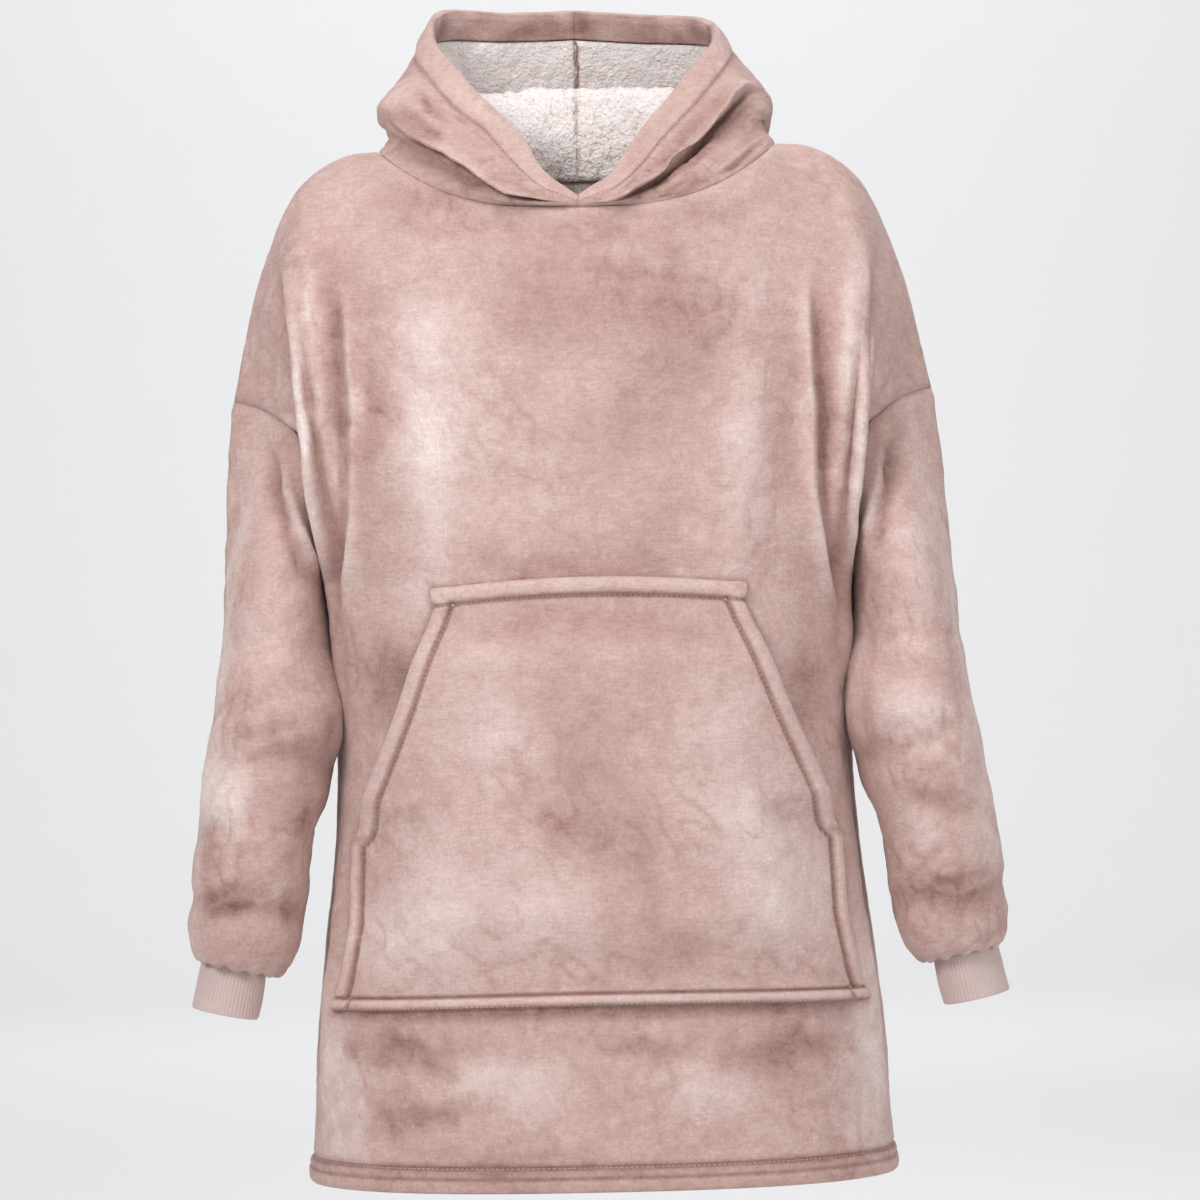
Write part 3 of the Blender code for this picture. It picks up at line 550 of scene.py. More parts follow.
HOOD_NAP_AND_SHADE = {
    LEFT: named(
        PATCH,
        (70, 52, 12, 12, 0, -0.5),
        (46, 44, 16, 14, 0, 0.25),
        (52, 26, 28, 8, 8, -0.55),
        (78, 82, 6, 5, 0, -0.5),
        (64, 91, 4, 4, 0, -0.45),
        (30, 60, 12, 18, 0, -0.2),
        (92, 70, 10, 24, 0, 0.3),
        (120, 40, 18, 30, 0, -0.4),
        (150, 60, 18, 30, 0, 0.35),
        (60, 150, 22, 26, 0, 0.25),
    ),
    RIGHT: named(
        PATCH,
        (58, 46, 30, 11, 8, -0.6),
        (62, 78, 30, 12, 0, -0.35),
        (76, 57, 15, 6, 0, -0.9),
        (46, 50, 14, 6, 20, -0.55),
        (88, 26, 10, 18, 0, -0.35),
        (36, 12, 20, 14, 0, -0.35),
        (66, 82, 20, 12, 0, -0.25),
        (92, 70, 10, 24, 0, 0.3),
        (120, 40, 18, 30, 0, -0.4),
        (150, 60, 18, 30, 0, 0.35),
        (50, 150, 26, 40, 0, -0.2),
    ),
}

DIFFERENCE = 1e-4


def spline(knots, values, at):
    """A smooth curve through a table: values at the knots, read off at the places in at."""
    knots = np.asarray(knots, float)
    values = np.asarray(values, float)
    at = np.asarray(at, float)
    slope = np.gradient(values, knots, axis=0)
    i = np.clip(np.searchsorted(knots, at, side="right") - 1, 0, len(knots) - 2)
    h = knots[i + 1] - knots[i]
    t = (at - knots[i]) / h
    if values.ndim > 1:
        t, h = t[..., None], h[..., None]
    start = values[i] * (2 * t**3 - 3 * t**2 + 1) + slope[i] * h * (t**3 - 2 * t**2 + t)
    return start + values[i + 1] * (3 * t**2 - 2 * t**3) + slope[i + 1] * h * (t**3 - t**2)


def column(table, *names):
    return np.array([[row[n] for n in names] for row in table], float).squeeze()


def curve(table, name, at, key=None):
    """A smooth curve through one column of a table, against another one or against its row numbers."""
    knots = column(table, key) if key else np.arange(len(table))
    return spline(knots, column(table, name), at)


def unit(ways):
    return ways / np.maximum(np.linalg.norm(ways, axis=-1, keepdims=True), 1e-12)


def lengths_along(points):
    """Distance along a path at each of its points."""
    return np.concatenate([[0], np.cumsum(np.linalg.norm(np.diff(points, axis=0), axis=1))])


def arc_fractions(points):
    along = lengths_along(points)
    return along / along[-1]


def read_off(at, along, path):
    return np.stack([np.interp(at, along, values) for values in path.T], 1)


def stack(x, y, z):
    return np.stack(np.broadcast_arrays(x, y, z), axis=-1)


def cubic(p0, p1, p2, p3, t):
    t = t[..., None]
    s = 1 - t
    return p0 * s**3 + 3 * p1 * s**2 * t + 3 * p2 * s * t**2 + p3 * t**3


def ramp(x):
    """From 0 at 0 to 1 at 1, with soft ends."""
    x = np.clip(x, 0, 1)
    return x * x * (3 - 2 * x)


def bell(x):
    """1 at 0, falling smoothly to nothing."""
    return np.exp(-(x**2))


def rise_and_fall(x, start, peak, end):
    """0 at start, 1 at peak, 0 at end, smooth all the way."""
    return np.where(x < peak, ramp((x - start) / (peak - start)), ramp((end - x) / (end - peak)))


# The panels, as in the CAD


def neckline_at(turn, side):
    s, c = np.sin(turn), np.cos(turn)
    height = NECK_CENTRE_Z[side] + (NECK_POINT_Z - NECK_CENTRE_Z[side]) * s**3
    return stack(NECK_HALF_WIDTH * s, NECK_MID_Y + side * NECK_DEPTH[side] * c, height)


def neckline(share, side):
    """A point of the neckline: share 0 at its centre, 1 at the neck point."""
    turn = np.linspace(0, np.pi / 2, 200)
    return neckline_at(np.interp(share, arc_fractions(neckline_at(turn, side)), turn), side)


def top_edge(across, side):
    """The neckline, then the shoulder line down to the top of the armhole."""
    neck = neckline(np.clip(across / NECK_POINT_ACROSS, 0, 1), side)
    beyond = (across - NECK_POINT_ACROSS) / (1 - NECK_POINT_ACROSS)
    path = column(SHOULDER, "x", "y", "z")
    shoulder = spline(arc_fractions(path), path, np.clip(beyond, 0, 1))
    return np.where((across < NECK_POINT_ACROSS)[..., None], neck, shoulder)


def oval(turn, half_width, depth):
    """A squarish oval in polar form: turn 0 points to the front or back, a quarter turn to the side."""
    s, c = np.abs(np.sin(turn)), np.abs(np.cos(turn))
    r = ((s / half_width) ** TORSO_POWER + (c / depth) ** TORSO_POWER) ** (-1 / TORSO_POWER)
    return r * s, r * c


def torso(across, z, side):
    """A point of the torso below the armholes, with across in even lengths round a middling section."""
    half_width = curve(TORSO, "half_width", -z, "down")
    depth = curve(TORSO, "front" if side == FRONT else "back", -z, "down")
    turn = np.linspace(0, np.pi / 2, 400)
    middling = np.stack(oval(turn, *MIDDLING_SECTION), 1)
    x, y = oval(np.interp(across, arc_fractions(middling), turn), half_width, depth)
    return stack(x, side * y, z)


def bare_panel(across, down, side):
    """The half panel with no folds. down: 0 at the top edge, 1 at the underarm, 2 at the hem."""
    start = top_edge(across, side)
    meet = torso(across, np.full_like(across, UNDERARM_Z), side)
    outward = np.array([1, side, 1])
    leave, arrive = (curve(HANG, name, across, "across") * outward for name in ("leave", "arrive"))
    yoke = cubic(start, start + leave, meet + arrive, meet, np.clip(down, 0, 1))
    low = torso(across, UNDERARM_Z + (HEM_Z - UNDERARM_Z) * np.clip(down - 1, 0, 1), side)
    return np.where(down[..., None] <= 1, yoke, low)


def normals(surface, a, b, a_range, b_range):
    """Unit normals of surface(a, b), from small steps that stay inside both ranges."""
    step_a = np.where(a + DIFFERENCE > a_range[1], -DIFFERENCE, DIFFERENCE)
    step_b = np.where(b + DIFFERENCE > b_range[1], -DIFFERENCE, DIFFERENCE)
    here = surface(a, b)
    da = (surface(a + step_a, b) - here) * np.sign(step_a)[..., None]
    db = (surface(a, b + step_b) - here) * np.sign(step_b)[..., None]
    return unit(np.cross(da, db))


def fold_height(across, down, side):
    height = np.zeros_like(across)
    for fold in FRONT_FOLDS if side == FRONT else BACK_FOLDS:
        shape = bell((across - fold["across"]) / fold["width"])
        length = rise_and_fall(down, fold["start"], fold["peak"], fold["end"])
        height = height + fold["height"] * shape * length
    return height * np.clip((1 - across) / 0.08, 0, 1)


def panel(across, down, side):
    """A point of the half panel's outer face, for x above 0. Its normals are evened out along the cloth."""
    out = np.zeros((*np.shape(across), 3))
    for off in (-0.08, -0.04, 0, 0.04, 0.08):
        near = np.clip(down + off, 0, 2)
        out += normals(lambda a, b: bare_panel(a, b, side), across, near, (0, 1), (0, 2))
    return bare_panel(across, down, side) + side * unit(out) * fold_height(across, down, side)[..., None]


# The sleeves, as in the CAD


def armhole(turn):
    """The armhole seam: 0 degrees at its top, 90 in front, 180 at the underarm, 270 behind."""
    turn = np.mod(turn, 360.0)
    ahead = turn <= 180
    down = np.where(ahead, turn, 360 - turn) / 180
    front, back = (bare_panel(np.ones_like(down), down, side) for side in (FRONT, BACK))
    return np.where(ahead[..., None], front, back)


def sleeve_ring(turn, place):
    """A tilted oval section of the sleeve. place counts the rows of its table."""
    z, inner, outer, y, depth, tilt = (curve(SLEEVE, name, place) for name in SLEEVE[0])
    c, s = np.cos(np.radians(turn)), np.sin(np.radians(turn))
    r = (np.abs(c) ** SLEEVE_POWER + np.abs(s) ** SLEEVE_POWER) ** (-1 / SLEEVE_POWER)
    off = (outer - inner) / 2 * c * r
    return stack((outer + inner) / 2 + off, y - depth * s * r, z + off * np.tan(np.radians(tilt)))


def crease_depth(turn, z):
    depth = np.zeros_like(z)
    for crease in SLEEVE_CREASES:
        off = np.mod(turn - crease["towards"] + 180, 360) - 180
        line = crease["z"] + crease["slant"] * off
        reach = np.clip(1 - (off / crease["spread"]) ** 2, 0, 1)
        depth = depth + crease["depth"] * bell((z - line) / crease["width"]) * reach
    return depth


def bare_sleeve(turn, along):
    """along: 0 to 1 from the armhole to the first section, then one for each section."""
    under = (1 - np.cos(np.radians(turn))) / 2
    start = armhole(turn) + ARMHOLE_GAP * stack(under, 0, under - 1)
    first = sleeve_ring(turn, np.zeros_like(along))
    reach = np.linalg.norm(first - start, axis=-1, keepdims=True) / 3
    s = np.sin(np.radians(turn))
    leave = start + stack(0.10, -0.10 * s, -1) * reach
    arrive = first - stack(0.06, 0 * s, -1) * reach
    top = cubic(start, leave, arrive, first, np.clip(along, 0, 1))
    low = sleeve_ring(turn, np.clip(along - 1, 0, LAST_RING))
    return np.where(along[..., None] <= 1, top, low)


def sleeve_normals(surface, turn, along):
    ends = (0, LAST_RING + 1)
    return normals(lambda t, w: surface(t * 100, w), turn / 100, along, (-10, 10), ends)


def sleeve_face(turn, along):
    bare = bare_sleeve(turn, along)
    out = sleeve_normals(bare_sleeve, turn, along)
    left = LAST_RING - along
    pucker = GATHER_DEPTH * np.clip(1 - left / 2, 0, 1) * np.sin(np.radians(turn) * GATHERS)
    depth = crease_depth(turn, bare[..., 2]) * np.clip(left, 0, 1)
    return bare + out * (pucker * np.clip(left + 1, 0.35, 1) - depth)[..., None]


# The hood and the pocket's place, as in the CAD


def neck_polar(at):
    """The neck seam's distance out and height at an angle round the neck."""
    turn = np.linspace(0, np.pi / 2, 200)
    path = np.concatenate([neckline_at(turn, FRONT), neckline_at(turn, BACK)[::-1]])
    angle = np.degrees(np.arctan2(path[:, 0], -path[:, 1]))
    order = np.argsort(angle)
    values = np.stack([np.hypot(path[:, 0], path[:, 1]), path[:, 2]], 1)
    return tuple(read_off([at], angle[order], values[order])[0])


def hood_section(at, side, shares, band):
    """One section of the hood: even shares from the neck seam to the stitches, then over the band."""
    r, z = neck_polar(at)
    points = [(r, z + HALF_SEAM * 4)]
    for part in ("base", "ridge", "pouch", "belly", "stitch", "rim"):
        points.append(curve(HOOD[side], part, at, "at"))
    points = np.array(points, float)
    chord = np.sqrt(np.linalg.norm(np.diff(points, axis=0), axis=1))
    place = np.concatenate([[0], np.cumsum(np.maximum(chord, 1e-3))])
    fine = spline(place, points, np.linspace(0, place[-2], 240))
    over = spline(place, points, place[-2] + (place[-1] - place[-2]) * np.asarray(band))
    r, z = np.concatenate([read_off(shares, arc_fractions(fine), fine), over]).T
    a = np.radians(at)
    return stack(side * r * np.sin(a), -r * np.cos(a), z)


def hood_grid(stations, side, shares, band):
    """The hood's bare outer face and its normals. The end sections keep to their own planes."""
    face = np.array([hood_section(at, side, shares, band) for at in stations])
    n = side * np.cross(np.gradient(face, axis=0), np.gradient(face, axis=1))
    n[[0, -1], :, 0] *= (np.array([stations[0], 180 - stations[-1]]) > 1)[:, None]
    n[:, 0, 2] = 0
    return face, unit(n)


def front_at(x, z):
    """The place across the front panel whose bare face has this x at this height."""
    places = np.linspace(0, 1, 300)
    across = np.empty_like(x)
    for j in range(x.shape[0]):
        line = torso(places, np.full_like(places, z[j, 0]), FRONT)
        across[j] = np.interp(np.abs(x[j]), line[:, 0], places)
    return across


def pocket_half(z):
    """Half the pocket's width at this height."""
    return np.interp(z, column(POCKET_EDGE, "z")[::-1], column(POCKET_EDGE, "half_width")[::-1])


# Small shapes laid over the surfaces


def ripple(points, size, seed, waves=22):
    """Soft unevenness of about this size in mm, from -1 to 1 or so."""
    rng = np.random.default_rng(seed)
    way = rng.normal(size=(waves, 3))
    way /= np.linalg.norm(way, axis=1, keepdims=True)
    pace = 2 * np.pi / size * rng.uniform(0.6, 1.5, waves)
    phase = rng.uniform(0, 2 * np.pi, waves)
    return np.sin(points @ way.T * pace + phase).sum(-1) / np.sqrt(waves * 2)


def uneven(points, *layers):
    """A sum of ripples, each given as (height, size, seed)."""
    return sum(height * ripple(points, size, seed) for height, size, seed in layers)


def crumple(points, size, seed):
    """Small sharp-bottomed creases of about this size in mm, 0 between them and down to -1."""
    lines = 1 - np.abs(ripple(points, size, seed)) * 2.2
    where = ramp(ripple(points, size * 4, seed + 500) * 0.9 + 0.45)
    return -np.clip(lines, 0, 1) ** 2 * where


def curls(points, size, seed):
    """Round clumps of pile of about this size in mm: 1 on their tops, 0 between them."""
    cell = np.floor(points / size)
    nearest = np.full(points.shape[:-1], np.inf)
    for offset in np.ndindex(3, 3, 3):
        corner = cell + np.array(offset) - 1
        mixed = (corner @ np.array([127.1, 311.7, 74.7]) + seed)[..., None] + 19.19 * np.arange(3)
        middle = np.modf(np.abs(np.sin(mixed)) * 43758.5453)[0]
        away = np.linalg.norm((corner + middle) * size - points, axis=-1)
        nearest = np.minimum(nearest, away)
    return np.clip(1 - (nearest / size) ** 2 * 1.5, 0, 1)


def soft_lines(table, u, v):
    """Troughs and ridges along short bowed lines from (u0, v0) to (u1, v1)."""
    lift = np.zeros_like(u)
    for u0, v0, u1, v1, width, height, bow in (line.values() for line in table):
        du, dv = u1 - u0, v1 - v0
        long = np.hypot(du, dv)
        t = np.clip(((u - u0) * du + (v - v0) * dv) / long**2, 0, 1)
        off = bow * 4 * t * (1 - t) / long
        away = np.hypot(u - u0 - t * du + off * dv, v - v0 - t * dv - off * du)
        lift = lift + height * bell(away / width) * ramp(np.minimum(t, 1 - t) / 0.3)
    return lift


def fold_steps(table, u, v):
    """Steep-sided folds along short paths: a ridge on the left of the way along and a trough on its right."""
    lift = np.zeros_like(u)
    for fold in table:
        path = np.array(fold["path"], float)
        starts = lengths_along(path)
        nearest = np.full_like(u, np.inf)
        best_side, best_along = np.zeros_like(u), np.zeros_like(u)
        for k, span in enumerate(np.diff(starts)):
            ahead_u, ahead_v = (path[k + 1] - path[k]) / span
            du, dv = u - path[k, 0], v - path[k, 1]
            t = np.clip(du * ahead_u + dv * ahead_v, 0, span)
            away = np.hypot(du - t * ahead_u, dv - t * ahead_v)
            closer = away < nearest
            nearest = np.where(closer, away, nearest)
            best_side = np.where(closer, np.sign(dv * ahead_u - du * ahead_v), best_side)
            best_along = np.where(closer, (starts[k] + t) / starts[-1], best_along)
        s = nearest / fold["width"] * best_side
        ends = ramp(best_along / 0.22) * ramp((1 - best_along) / 0.22)
        lift = lift + fold["height"] * STEP_SCALE * s * np.exp(-(s**2) / 2) * ends
    return lift


def painted_fold_shade(folds, dark=0.10, light=0.05):
    """Painted shade in the troughs of the folds and a painted highlight on their ridges: troughs darker and
    ridges a little lighter than the cloth between them.
    """
    return dark * np.minimum(folds, 0) + light * np.maximum(folds, 0)


def patches(table, u, v):
    """Patches of tone, brushed patches of the pile mixed with painted shade and painted highlights: tone
    above 0 is lighter, below 0 darker.
    """
    tone = np.zeros_like(u)
    for row in table:
        a = np.radians(row["tilt"])
        du, dv = u - row["u"], v - row["v"]
        along = (du * np.cos(a) + dv * np.sin(a)) / row["wide"]
        across = (dv * np.cos(a) - du * np.sin(a)) / row["tall"]
        tone = tone + row["tone"] * np.exp(-((along**2 + across**2) ** 1.3))
    return tone


def warped(points, u, v, reach, seed):
    """u and v pushed about by up to this reach or so, in broad and in small waves."""
    for k, (size, share) in enumerate(((75, 1.0), (26, 0.55), (10, 0.35))):
        u = u + reach * share * ripple(points, size, seed + 2 * k)
        v = v + reach * share * ripple(points, size, seed + 2 * k + 1)
    return u, v


def eased(grid, weight, turns=40):
    """Evens out a kink along the rows of a grid, where the weight is above 0."""
    for _ in range(turns):
        middle = (grid[:, :-2] + grid[:, 2:]) / 2
        grid[:, 1:-1] += weight[:, 1:-1, None] * (middle - grid[:, 1:-1])
    return grid


def tucked(face, out, under=0.9, past=1.3):
    """Moves the first row of a grid on past its seam and a little under the piece beyond."""
    face[0] -= unit(face[1] - face[0]) * past + out[0] * under
    return face


def plateau(distance, width):
    return np.clip(1 - np.abs(distance / (width / 2) - 1) ** 2.6, 0, 1)


def lengths_from(grid, axis, end):
    """Distance in mm of each point of a grid from one of its edges, along the grid's lines."""
    steps = np.linalg.norm(np.diff(grid, axis=axis), axis=-1)
    start = np.zeros_like(steps.take([0], axis=axis))
    along = np.cumsum(np.concatenate([start, steps], axis=axis), axis=axis)
    return along if end == "start" else along.take([-1], axis=axis) - along


def sewn_edge(distance):
    """The cloth dives into a seam and swells a little beside it."""
    return 0.7 * bell((distance - 9) / 6) - 1.3 * bell(distance / 2.2)


# Meshes


def placed(name, data):
    """A new object in the scene."""
    made = bpy.data.objects.new(name, data)
    bpy.context.scene.collection.objects.link(made)
    return made


def plain_mesh(name, slot, points, quads, materials, which, nap_and_shade):
    """A piece from points in mm and faces of four points each. which: each face's material."""
    a, b, c, d = (points[quads[:, k]] for k in range(4))
    if (np.cross(a, b) * c).sum() + (np.cross(a, c) * d).sum() <= 0:
        quads = quads[:, ::-1]
    lean = LEAN * ramp((points[:, 2] - LEAN_FROM_Z) / (LEAN_TO_Z - LEAN_FROM_Z))
    mesh = bpy.data.meshes.new(name)
    mesh.vertices.add(len(points))
    mesh.vertices.foreach_set("co", ((points + stack(lean, 0, 0)) * MM).astype(np.float32).ravel())
    mesh.loops.add(quads.size)
    mesh.loops.foreach_set("vertex_index", quads.astype(np.int32).ravel())
    mesh.polygons.add(len(quads))
    mesh.polygons.foreach_set("loop_start", np.arange(len(quads), dtype=np.int32) * 4)
    mesh.update(calc_edges=True)
    mesh.shade_smooth()
    for material in materials:
        mesh.materials.append(material)
    mesh.polygons.foreach_set("material_index", which.astype(np.int32))
    # The per-point tone: brushed patches, painted shade in troughs, grooves and crevices, and painted
    # highlights on ridges
    layer = mesh.attributes.new("nap_and_shade", "FLOAT", "POINT")
    layer.data.foreach_set("value", np.clip(0.5 + 0.5 * nap_and_shade, 0, 1).astype(np.float32))
    piece = placed(name, mesh)
    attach(piece, "root")
    return piece


def wall(stands_for, kind, slot, outer, inner, tones, materials, inner_rows=None, around=False):
    """A thin closed wall between two grids of points, in place of a CAD node.
    tones: of its outer and its inner face. inner_rows: rows whose inner face is the second material."""
    rows, cols = outer.shape[:2]
    index = np.arange(rows * cols).reshape(rows, cols)
    here, beside = (index, np.roll(index, -1, axis=1)) if around else (index[:, :-1], index[:, 1:])
    inside = rows * cols
    face = np.stack([here[:-1], here[1:], beside[1:], beside[:-1]], -1)
    top = np.stack([here[0], beside[0], beside[0] + inside, here[0] + inside], -1)
    foot = np.stack([here[-1], here[-1] + inside, beside[-1] + inside, beside[-1]], -1)
    quads = [face.reshape(-1, 4), face[..., ::-1].reshape(-1, 4) + inside, top, foot]
    if not around:
        for edge, way in ((index[:, 0], 1), (index[:, -1], -1)):
            corners = [edge[:-1], edge[:-1] + inside, edge[1:] + inside, edge[1:]]
            quads.append(np.stack(corners[:1] + corners[1:][::way], -1))
    which = np.zeros(sum(len(q) for q in quads))
    if inner_rows is not None:
        rows_in = np.broadcast_to(inner_rows[:-1, None], face.shape[:2]).ravel()
        which[len(rows_in) : 2 * len(rows_in)] = rows_in
    points = np.concatenate([outer.reshape(-1, 3), inner.reshape(-1, 3)])
    nap_and_shade = np.concatenate([tone.ravel() for tone in tones])
    name = stands_for + kind
    piece = plain_mesh(name, slot, points, np.concatenate(quads), materials, which, nap_and_shade)
    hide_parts(stands_for)
    return piece


def tube_faces(rings, turns, caps):
    """Faces of a closed tube whose points are numbered ring by ring. caps: the faces at each end."""
    index = np.arange(rings * turns).reshape(rings, turns)
    beyond = np.roll(index, -1, axis=1)
    sides = np.stack([index[:-1], index[1:], beyond[1:], beyond[:-1]], -1).reshape(-1, 4)
    ends = [[ring[k] for k in cap][::way] for ring, way in ((index[0], 1), (index[-1], -1)) for cap in caps]
    return np.concatenate([sides, np.array(ends)])


def stitches(name, lines):
    """Rows of short stitches along lines of (points, outward directions)."""
    spots, ways, outs = [], [], []
    for path, out in lines:
        along = lengths_along(path)
        at = np.arange(STITCH["pitch"], along[-1] - STITCH["pitch"] / 2, STITCH["pitch"])
        spots.append(read_off(at, along, path))
        ways.append(read_off(at + 0.5, along, path) - spots[-1])
        outs.append(read_off(at, along, out))
    spots, ways, outs = (np.concatenate(v)[:, None, None] for v in (spots, ways, outs))
    ways, outs = unit(ways), unit(outs)
    turn = np.arange(6) * np.pi / 3
    rings = [(-0.5, 0.12), (-0.42, 0.7), (0.0, 1.0), (0.42, 0.7), (0.5, 0.12)]
    shape = np.array([[(t, r * np.cos(a), r * np.sin(a)) for a in turn] for t, r in rings])
    lift = STITCH["lift"] * np.cos(shape[..., :1] * np.pi)
    points = spots + ways * shape[..., :1] * STITCH["long"]
    points = points + np.cross(ways, outs) * shape[..., 1:2] * STITCH["thick"]
    points = points + outs * (shape[..., 2:] * STITCH["thick"] + lift)
    per = len(rings) * len(turn)
    one = tube_faces(len(rings), len(turn), [(0, 1, 2, 3), (0, 3, 4, 5)])
    quads = (one[None] + np.arange(len(points))[:, None, None] * per).reshape(-1, 4)
    points = points.reshape(-1, 3)
    return plain_mesh(name, "fleece", points, quads, [THREAD], np.zeros(len(quads)), np.zeros(len(points)))


# Materials

MATT = {"Metallic": 0.0, "Specular IOR Level": 0.2}


def feed(tree, made, inputs):
    """Links or sets a node's inputs."""
    for key, value in inputs.items():
        if isinstance(value, bpy.types.NodeSocket):
            tree.links.new(value, made.inputs[key])
        else:
            made.inputs[key].default_value = value
    return made


def node(tree, kind, inputs, **settings):
    made = tree.nodes.new("ShaderNode" + kind)
    for key, value in settings.items():
        setattr(made, key, value)
    return feed(tree, made, inputs)


def grain(tree, where, size, detail=2.0, rough=0.5):
    """Noise with features of about this size in mm."""
    inputs = {"Vector": where, "Scale": 1000 / size, "Detail": detail, "Roughness": rough}
    return node(tree, "TexNoise", inputs).outputs["Fac"]


def streaks(tree, where, long, thin):
    """Noise drawn out level, with streaks this long and thin in mm."""
    squashed = node(tree, "Mapping", {"Vector": where, "Scale": (1000 / long, 1000 / long, 1000 / thin)})
    inputs = {"Vector": squashed.outputs["Vector"], "Scale": 1.0, "Detail": 2.0}
    return node(tree, "TexNoise", inputs).outputs["Fac"]


def curled(tree, where, size):
    """Distance from the middles of small warped clumps of about this size in mm."""
    bend = node(tree, "TexNoise", {"Vector": where, "Scale": 1000 / size, "Detail": 2.0}).outputs["Color"]
    inputs = {0: bend, 1: (size * MM * 0.5,) * 3, 2: where}
    bent = node(tree, "VectorMath", inputs, operation="MULTIPLY_ADD").outputs["Vector"]
    return node(tree, "TexVoronoi", {"Vector": bent, "Scale": 1000 / size}).outputs["Distance"]


def cloth(name, tones, nap_and_shade_share, noises, bumps, rough, sheen, brushed=(), clumps=()):
    """tones: (place, colour), its two ends first; noises: (size, share); bumps: (size, height);
    brushed: (long, thin, share, height) of level streaks; clumps: (size, share, height) of curls,
    whose share paints shade between the curls. sheen: its weight, roughness and tint. Sizes and
    heights are in mm, and the share given for the per-point tone is how much of the tone comes
    from it: brushed patches, painted shade and painted highlights."""
    material = bpy.data.materials.new(name)
    material.use_nodes = True
    tree = material.node_tree
    where = node(tree, "TexCoord", {}).outputs["Object"]
    layers = [(streaks(tree, where, long, thin), share, height) for long, thin, share, height in brushed]
    # The curls darken the colour between them: painted shade in the crevices
    layers += [(curled(tree, where, size), -share, -height) for size, share, height in clumps]
    shades = [(grain(tree, where, size), share) for size, share in noises]
    heights = [(grain(tree, where, size, 3.0, 0.6), height) for size, height in bumps]

    # Per-point tone: brushed patches with painted shade and painted highlights
    patches_and_shade = node(tree, "Attribute", {}, attribute_name="nap_and_shade").outputs["Fac"]
    inputs = {0: patches_and_shade, 1: nap_and_shade_share, 2: 0.5 - nap_and_shade_share / 2}
    tone = node(tree, "Math", inputs, operation="MULTIPLY_ADD").outputs[0]
    for value, share in shades + [layer[:2] for layer in layers]:
        off = node(tree, "Math", {0: value, 1: 0.5}, operation="SUBTRACT").outputs[0]
        tone = node(tree, "Math", {0: off, 1: share, 2: tone}, operation="MULTIPLY_ADD").outputs[0]
    colours = node(tree, "ValToRGB", {"Fac": tone})
    stops = colours.color_ramp.elements
    for i, (place, colour) in enumerate(tones):
        stop = stops[i] if i < 2 else stops.new(place)
        stop.position = place
        stop.color = (*colour, 1)

    bent = {}
    for value, height in heights + [layer[::2] for layer in layers]:
        inputs = {"Height": value, "Distance": height * MM, **bent}
        bent = {"Normal": node(tree, "Bump", inputs).outputs["Normal"]}
    looks = {"Base Color": colours.outputs["Color"], "Roughness": rough, **MATT, **bent}
    names = ("Sheen Weight", "Sheen Roughness", "Sheen Tint")
    feed(tree, tree.nodes["Principled BSDF"], {**looks, **dict(zip(names, sheen))})
    return material


FLEECE = cloth(
    "fleece_nap",
    [
        (0.0, (0.22, 0.122, 0.104)),
        (1.0, (0.80, 0.72, 0.69)),
        (0.25, (0.37, 0.230, 0.198)),
        (0.5, (0.505, 0.347, 0.310)),
        (0.75, (0.645, 0.51, 0.472)),
    ],
    nap_and_shade_share=0.78,
    noises=[(60, 0.22), (14, 0.20), (5, 0.20), (1.9, 0.27)],
    bumps=[(16, 0.9), (4.2, 0.7), (1.6, 0.5)],
    rough=0.93,
    sheen=(0.26, 0.32, (1.0, 0.88, 0.85, 1)),
    brushed=[(11, 2.1, 0.20, 0.26), (2.6, 8.0, 0.11, 0.14)],
)
SHERPA = cloth(
    "sherpa_curls",
    [
        (0.0, (0.38, 0.28, 0.25)),
        (1.0, (0.93, 0.87, 0.85)),
        (0.35, (0.77, 0.69, 0.665)),
        (0.6, (0.88, 0.81, 0.785)),
    ],
    nap_and_shade_share=0.55,
    noises=[(30, 0.18), (1.2, 0.14)],
    bumps=[(1.5, 0.5)],
    rough=0.98,
    sheen=(0.22, 0.5, (1.0, 0.96, 0.94, 1)),
    # Clumps darken the lining between the curls: painted shade in the crevices
    clumps=[(4.4, 0.34, 0.95), (2.0, 0.34, 0.65)],
)
KNIT = cloth(
    "knit_cuff",
    [(0.0, (0.38, 0.27, 0.25)), (1.0, (0.66, 0.54, 0.515)), (0.5, (0.545, 0.425, 0.40))],
    nap_and_shade_share=0.5,
    noises=[(30, 0.16), (2.2, 0.10), (0.9, 0.12)],
    bumps=[(1.4, 0.18)],
    rough=0.8,
    sheen=(0.18, 0.4, (1.0, 0.92, 0.9, 1)),
)
THREAD = cloth(
    "sewing_thread",
    [(0.0, (0.44, 0.28, 0.25)), (1.0, (0.66, 0.48, 0.44))],
    nap_and_shade_share=0.2,
    noises=[(1.2, 0.5)],
    bumps=[(0.5, 0.06)],
    rough=0.6,
    sheen=(0.1, 0.4, (1.0, 0.9, 0.88, 1)),
)


# The body's front and back


